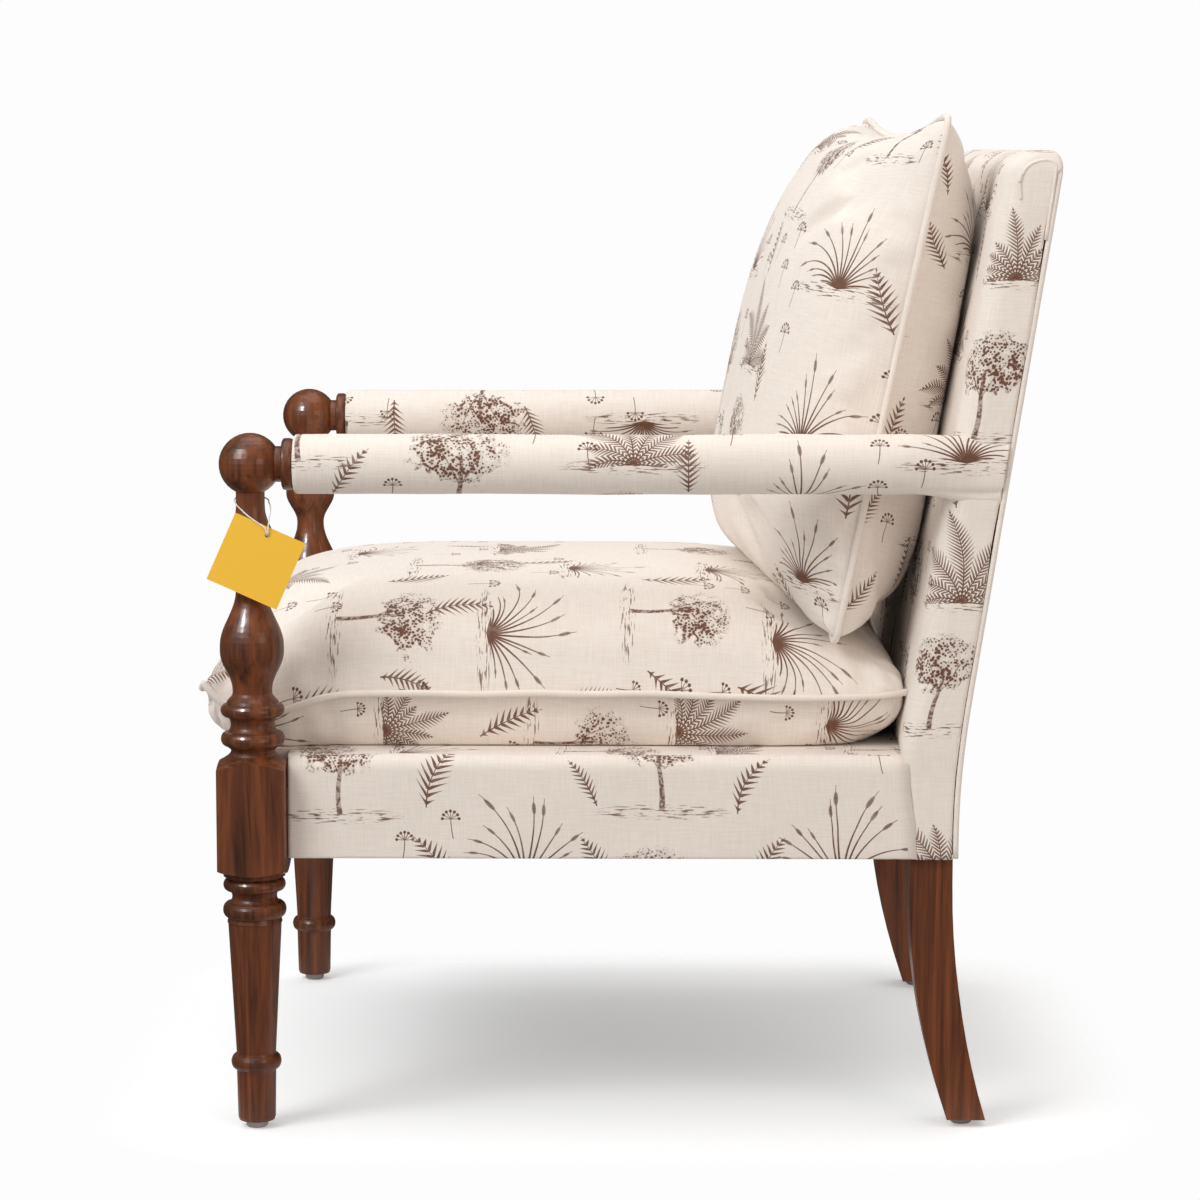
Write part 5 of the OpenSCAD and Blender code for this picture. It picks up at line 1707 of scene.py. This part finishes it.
@dataclass
class BackPillow(LooseCushion):
    """The loose back pillow: square, full in the middle, with drawn-in sides and sharp ears.

    Attributes:
        cushion: The seat cushion on which it stands.
        width: Width along the seam.
        height: Height along the seam.
        front: Height of the front panel over the seam.
        rear: Height of the rear panel over the seam.
        lean: Angle by which the pillow leans back.
        turn: Angle by which it is turned on the seat.
        draw_top: How far the middle of the upper edge is drawn in.
        draw_low: The same at the lower edge.
        draw_side: The same at the sides.
        blunt: How far the ears are pulled in.
        roll: How far the front panel rises over the upper seam.
        rise: Height of its middle over the deck.
        ahead: How far its middle lies in front of the back.
        rest: Gap to what it leans and stands on.
        cols: Points of a panel across.
        rows: Points of a panel from bottom to top.
        filling: How the filling pushes out the case.
    """

    cushion: SeatCushion
    width: float = 0.54
    height: float = 0.503
    front: float = 0.104
    rear: float = 0.09
    lean: float = math.radians(11.8)
    turn: float = math.radians(4.8)
    draw_top: float = 26 * MM
    draw_low: float = 34 * MM
    draw_side: float = 12 * MM
    blunt: float = 10 * MM
    roll: float = 9 * MM
    rise: float = 0.34
    ahead: float = 86 * MM
    rest: float = 0.6 * MM
    cols: int = 92
    rows: int = 92
    filling: Filling = Filling(pressure=3.0, slack=0.055)

    def axes(self) -> Array:
        """Directions across, up and out of the pillow's front, as three rows."""
        turn, lean = self.turn, self.lean
        return np.array(
            [
                [math.cos(turn), math.sin(turn), 0],
                [-math.sin(turn) * math.sin(lean), math.cos(turn) * math.sin(lean), math.cos(lean)],
                [math.sin(turn) * math.cos(lean), -math.cos(turn) * math.cos(lean), math.sin(lean)],
            ]
        )

    def point(
        self, u: Array, v: Array, out: Number, grow: float = 0.0, over: Number = 0.0
    ) -> Array:
        """A point of the pillow.

        Args:
            u: Place across, from -1 to 1.
            v: Place up, from -1 to 1.
            out: Distance out of the seam's plane.
            grow: How far the outline is grown.
            over: How far the point is lifted along the pillow.

        Returns:
            Points with y from the posts' axis.
        """
        chair = self.shop.chair
        drawn = np.where(v > 0, self.draw_top, self.draw_low) * (1 - u**2) * v**2
        blunt = (self.blunt + 0.3 * grow) * np.abs(u * v) ** 14
        across = u * (self.width / 2 + grow - self.draw_side * (1 - v**2) - blunt)
        up = v * (self.height / 2 + grow - drawn - blunt) + over
        z = chair.deck_z + self.rise
        middle = np.array([0, chair.front(z) - self.ahead, z])
        return middle + joined(across, up, out) @ self.axes()

    def settled(self, points: Array, lift: Number) -> Array:
        """Points kept in front of the back, and above the seat cushion by lift."""
        chair, cushion = self.shop.chair, self.cushion
        free = np.minimum(points[..., 2], chair.back_z - chair.top_r)
        y = np.minimum(points[..., 1], chair.front(free) - chair.crown - self.rest)
        x, r = points[..., 0], cushion.piping_r
        tops = [cushion.height_at(x + shift, y) for shift in (-r, 0.0, r)]
        z = np.maximum(points[..., 2], np.max(tops, axis=0) + lift)
        return joined(x, y, z)

    def lift(self, v: Array) -> Array:
        """Room for the piping under the panels, towards the lower seam."""
        cushion = self.cushion
        return self.rest + (2 * cushion.piping_r + cushion.seam_gap) * np.maximum(0, -v) ** 8

    def build(self) -> None:
        """Makes the case and its piping."""
        chair = self.shop.chair
        u, v = np.meshgrid(spread(self.cols), spread(self.rows))
        full_v = np.where(v > 0, 2.3, 4.4)
        cushion = self.cushion
        inset = cushion.seam_reach - 2 * cushion.piping_r - cushion.seam_gap
        roll = self.roll * np.sin(np.pi * np.clip((v - 0.72) / 0.28, 0, 1)) * (1 - u**4)
        fore = self.point(u, v, self.front * dome(u, v, 3, full_v, 0.5), inset, roll)
        aft = self.point(u, v, -self.rear * dome(u, v, 3, np.where(v > 0, 2.6, 4.5), 0.5), inset)
        panels = []
        for points, shift in ((fore, (0.29, 0.31)), (aft, (0.9, 0.66))):
            seated = self.settled(points, self.lift(v))
            panels.append(Sheet(chair.placed(seated), laid_out(points) + shift))
        self.sew("back_pillow", Body.PILLOW, panels, self.filling)
        path = self.point(*square_seam(140), 0.0, cushion.seam_reach - cushion.piping_r)
        path = chair.placed(self.settled(path, self.rest + cushion.piping_r))
        self.pipe("back_pillow", Body.PILLOW, path, cushion.piping_r, self.axes()[2])

    def reach(self, points: Array, near: Array) -> Array:
        """How far each point of the case may move: not at all at the seam and where it rests."""
        chair = self.shop.chair
        seat = points - np.array([0, chair.post_y, 0])
        free = np.minimum(seat[:, 2], chair.back_z - chair.top_r)
        behind = chair.front(free) - 8 * MM - seat[:, 1]
        below = seat[:, 2] - self.cushion.height_at(seat[:, 0], seat[:, 1])
        return np.clip(0.3 * near, 0, 8 * MM) * np.clip(np.minimum(behind, below) / 0.04, 0, 1)


# Tag, timber and hidden parts


@dataclass
class HangTag:
    """The string round the post's neck, its knot and the blank card.

    Attributes:
        shop: Where the finishes and the chair's sizes are.
        string_r: Radius of the string.
        route: Points of the string from the post's axis: across, to the rear and up, in
            millimetres.
    """

    shop: Upholsterer
    string_r: float = 0.65 * MM
    route: tuple[tuple[float, float, float], ...] = (
        (24.5, 18.8, 554.2), (27.5, 18.8, 554.2), (30, 18.7, 555.8), (30.3, 18.7, 559),
        (29.8, 19, 562.6), (26.5, 19.6, 568.5), (18.5, 20, 574.6), (9.5, 19, 579), (2, 17.2, 581),
        (-4.5, 16, 583), (-10.4, 10.8, 585), (-13.6, 4.2, 586.5), (-13.6, -4.2, 587),
        (-10.1, -10.1, 586.2), (-4, -13.8, 584.6), (3.5, -14, 582.6), (10.5, -11.2, 579.4),
        (17, -6.6, 576), (24, -1, 572), (29, 4, 569), (30, 10, 565), (30.4, 15.5, 561),
        (30.4, 17.2, 557.6), (29.8, 17.2, 555.2), (27.5, 17.2, 553.8), (24.5, 17.2, 553.8),
    )

    def build(self, nodes: dict[str, Object]) -> None:
        """Makes the string and its knot; the card is the frame's own."""
        chair = self.shop.chair
        route = np.array(self.route) * MM + np.array([chair.post_x, 0, 0])
        path = chair.placed(smoothed(route, 6))
        string = make_piece("tag_cord", [tube_sheet(path, self.string_r, 10, (0, 1, 1))])
        self.shop.dress(string, "string", Body.TAG, "tag_string")
        knot = self.knot()
        2 * self.string_r

    def knot(self) -> Object:
        """A tight overhand knot: a trefoil wound on itself.

        Its middle line is (sin t + 2 sin 2t, cos t - 2 cos 2t, -sin 3t), scaled into the frame's
        knot.
        """
        low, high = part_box("tag_knot")
        middle = np.array((low + high) / 2)
        r = (high.z - low.z) / 2
        t = np.linspace(0, 2 * np.pi, 72, endpoint=False)
        y, z = (np.sin(t) + 2 * np.sin(2 * t)) / 3, (np.cos(t) - 2 * np.cos(2 * t)) / 3
        path = middle + joined(-0.55 * np.sin(3 * t), y, z) * (r - self.string_r)
        tube = tube_sheet(path, self.string_r, 8, (1, 0.02, 0.03), True)
        piece = make_piece("tag_knot_tied", [tube])
        return self.shop.dress(piece, "string", Body.TAG, "tag_knot")


def dress_frame(shop: Upholsterer, nodes: dict[str, Object], slots: dict[str, str]) -> None:
    """Gives each of the frame's own nodes the finish of its slot.

    Args:
        shop: Where the finishes are.
        nodes: The frame's nodes.
        slots: The slot of each node.
    """
    across = {f"{rail}_rail" for rail in ("front_seat", "back_seat", "back_top", "back_lower")}
    across.add("rail_dowels")
    for name, node in nodes.items():
        slot = slots[name]
        finish = slot
        if slot == "frame_wood":
            finish = "frame_wood_x" if name in across else "frame_wood_y"
        node.data.materials.clear()
        node.data.materials.append(shop.finishes[finish])
    LOG.info("dressed %d nodes of the frame", len(nodes))


# Studio


def aim(name: str, data: bpy.types.ID, place: Sequence[float], way: Vector) -> Object:
    """Puts a camera or a lamp at a place, looking along a direction."""
    thing = bpy.data.objects.new(name, data)
    bpy.context.scene.collection.objects.link(thing)
    thing.location = place
    thing.rotation_euler = way.to_track_quat("-Z", "Y").to_euler()
    return thing


@dataclass(frozen=True)
class Studio:
    """A pale sweep, soft lamps all round and a long lens at standing height.

    Attributes:
        eye: Place of the camera, with y from the front posts' axis.
        yaw: Turn of the view off the X axis.
        pitch: Downward tilt of the view.
        lens: Focal length in millimetres.
        sensor: Width of the sensor in millimetres.
        backdrop: Colour of the sweep.
        around: Strength of the light from all round.
        gloss: Strength of the surroundings in reflections.
        glow: Share of the floor's brightness that doesn't depend on the lamps.
        plan: Half width and half depth of the rectangle round which the floor fades.
    """

    eye: tuple[float, float, float] = (3.7012, 0.3526, 0.9024)
    yaw: float = math.radians(-0.582)
    pitch: float = math.radians(6.904)
    lens: float = 112.368
    sensor: float = 36.0
    backdrop: str = "fdfdfd"
    around: float = 0.5
    gloss: float = 0.07
    glow: float = 0.31
    plan: tuple[float, float, float] = (0.27, 0.31, 0.0)

    def camera(self, chair: Chair) -> None:
        """Places the camera."""
        data = bpy.data.cameras.new("camera")
        data.lens = self.lens
        data.sensor_width = self.sensor
        data.clip_end = 50
        flat = math.cos(self.pitch)
        way = Vector((-math.cos(self.yaw) * flat, math.sin(self.yaw) * flat, -math.sin(self.pitch)))
        bpy.context.scene.camera = aim("camera", data, chair.placed(np.array(self.eye)), way)

    def lamp(
        self,
        name: str,
        place: Sequence[float],
        size: float,
        power: float,
        colour: Sequence[float] = (1, 1, 1),
        lights: bool = True,
    ) -> None:
        """Adds a square soft lamp that looks at the middle of the chair.

        Args:
            name: Name of the lamp.
            place: Where it hangs.
            size: Side of the square.
            power: Power in watts.
            colour: Colour of its light.
            lights: Whether it lights what is matt too, and not only what is glossy.
        """
        data = bpy.data.lights.new(name, "AREA")
        data.size = size
        data.energy = power
        data.color = colour
        aim(name, data, place, Vector((0, 0, 0.45)) - Vector(place)).visible_diffuse = lights

    def sweep(self) -> None:
        """The floor: pale, with the chair's shadow, fading into the white round it.

        It is a disc whose rings are circles; its material fades to clear with the distance from a
        rectangle a little smaller than the chair's plan.
        """
        radius = np.array([4.5, 3.0, 2.0, 1.2, 0.7, 0.3, 0.0001])[:, None]
        angle = np.linspace(0, 2 * np.pi, 65)
        x, y = radius * np.cos(angle), radius * np.sin(angle)
        floor = make_piece("floor", [Sheet(joined(x, y, 0.0)[:, :-1], joined(x, y), ring=True)])
        g = Graph(bpy.data.materials.new("pale paper"))
        place = g.add("ShaderNodeTexCoord", {}, "Object")
        aside = g.add("ShaderNodeVectorMath", {0: place}, operation="ABSOLUTE")
        past = g.add("ShaderNodeVectorMath", {0: aside, 1: self.plan}, operation="SUBTRACT")
        past = g.add("ShaderNodeVectorMath", {0: past, 1: (0, 0, 0)}, operation="MAXIMUM")
        far = g.add("ShaderNodeVectorMath", {0: past}, "Value", operation="LENGTH")
        fade = g.ramp(far, 0.04, 0.2, way="SMOOTHSTEP")
        matt = g.add("ShaderNodeBsdfDiffuse", {"Color": linear("f8fafc")})
        seen = g.add("ShaderNodeLightPath", {}, "Is Camera Ray")
        shine = {"Color": linear(self.backdrop), "Strength": seen * self.glow}
        glow = g.add("ShaderNodeEmission", shine)
        paper = g.add("ShaderNodeAddShader", {0: matt, 1: glow})
        clear = g.add("ShaderNodeBsdfTransparent", {})
        faded = g.add("ShaderNodeMixShader", {0: fade, 1: paper, 2: clear})
        floor.data.materials.append(g.finish(faded))

    def world(self) -> None:
        """White to the eye, a softer and warmer white as light, and dim in reflections."""
        g = Graph(bpy.data.worlds.new("studio"))
        bpy.context.scene.world = g.owner
        warm = (1, 0.97, 0.94, 1)
        looks = ((linear(self.backdrop), 1.0), (warm, self.around), ((1, 1, 1, 1), self.gloss))
        seen, light, gloss = [
            g.add("ShaderNodeBackground", {"Color": colour, "Strength": strength})
            for colour, strength in looks
        ]
        glossy = g.add("ShaderNodeLightPath", {}, "Is Glossy Ray")
        to_eye = glossy.other("Is Camera Ray")
        lit = g.add("ShaderNodeMixShader", {0: glossy, 1: light, 2: gloss})
        g.finish(g.add("ShaderNodeMixShader", {0: to_eye, 1: lit, 2: seen}))

    def build(self, chair: Chair) -> None:
        """Sets up the camera, the lamps, the sweep and the world."""
        self.camera(chair)
        self.lamp("key", (1.9, -2.0, 2.6), 1.5, 49)
        self.lamp("fill", (2.5, 1.8, 1.3), 1.5, 14, (1, 0.84, 0.71))
        self.lamp("top", (-0.2, -0.1, 2.8), 2.2, 22)
        self.lamp("glint", (1.9, -1.7, 2.3), 0.5, 60, lights=False)
        self.sweep()
        self.world()
        bpy.context.scene.view_settings.view_transform = "Standard"


def make_finishes() -> dict[str, bpy.types.Material]:
    """The material of each slot; the frame's timber has one for each way of its fibres."""
    sawn = {"dark": "9c7448", "light": "c9a673", "coat": 0.0, "roughness": 0.7}
    looks = {
        "wood": Timber("stained walnut", "311407", "8c4c24", Grain.ALONG_Z),
        "fabric": Linen("printed linen", printed=PlantPrint()),
        "piping": Linen("plain linen"),
        "frame_wood_x": Timber("sawn beech across", grain=Grain.ALONG_X, **sawn),
        "frame_wood_y": Timber("sawn beech along", grain=Grain.ALONG_Y, **sawn),
        "foam": Plain("cut foam", "efe6c6", "dccfa6", 2 * MM, roughness=0.95),
        "dark_cloth": Plain("cambric", "232326", "151517", 1.2 * MM, (1, 1, 0.2), roughness=0.9),
        "board": Plain("grey board", "93714f", "7d5f41", 1.5 * MM, roughness=0.9),
        "steel": Plain("drawn steel", "a5a8ac", "86898d", 0.8 * MM, roughness=0.32, metallic=1.0),
        "glide": Plain("moulded nylon", "b9b3ae", "9d9690", 1.0 * MM, roughness=0.45),
        "tag_card": Plain("matt card", "ffcc36", "ffc42c", 1.6 * MM, roughness=0.7),
        "string": Plain("twisted cotton", "f7f6f2", "dedbd2", 0.7 * MM, roughness=0.85),
    }
    return {slot: look.build() for slot, look in looks.items()}


def main() -> None:
    logging.basicConfig(level=logging.INFO, format="%(name)s: %(message)s")
    for thing in list(bpy.data.objects):
        bpy.data.objects.remove(thing)
    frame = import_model()
    chair = Chair.measure()
    Studio().build(chair)
    shop = Upholsterer(chair, make_finishes())
    slots = {part["node"]: part["material_slot"] for part in frame["record"]["subparts"]}
    dress_frame(shop, frame["nodes"], slots)
    HangTag(shop).build(frame["nodes"])
    BackUpholstery(shop).build()
    SeatUpholstery(shop).build()
    for side in Side:
        PaddedArm(shop, side).build()
    cushion = SeatCushion(shop)
    cushion.build()
    BackPillow(shop, cushion).build()


if __name__ == "__main__":
    main()
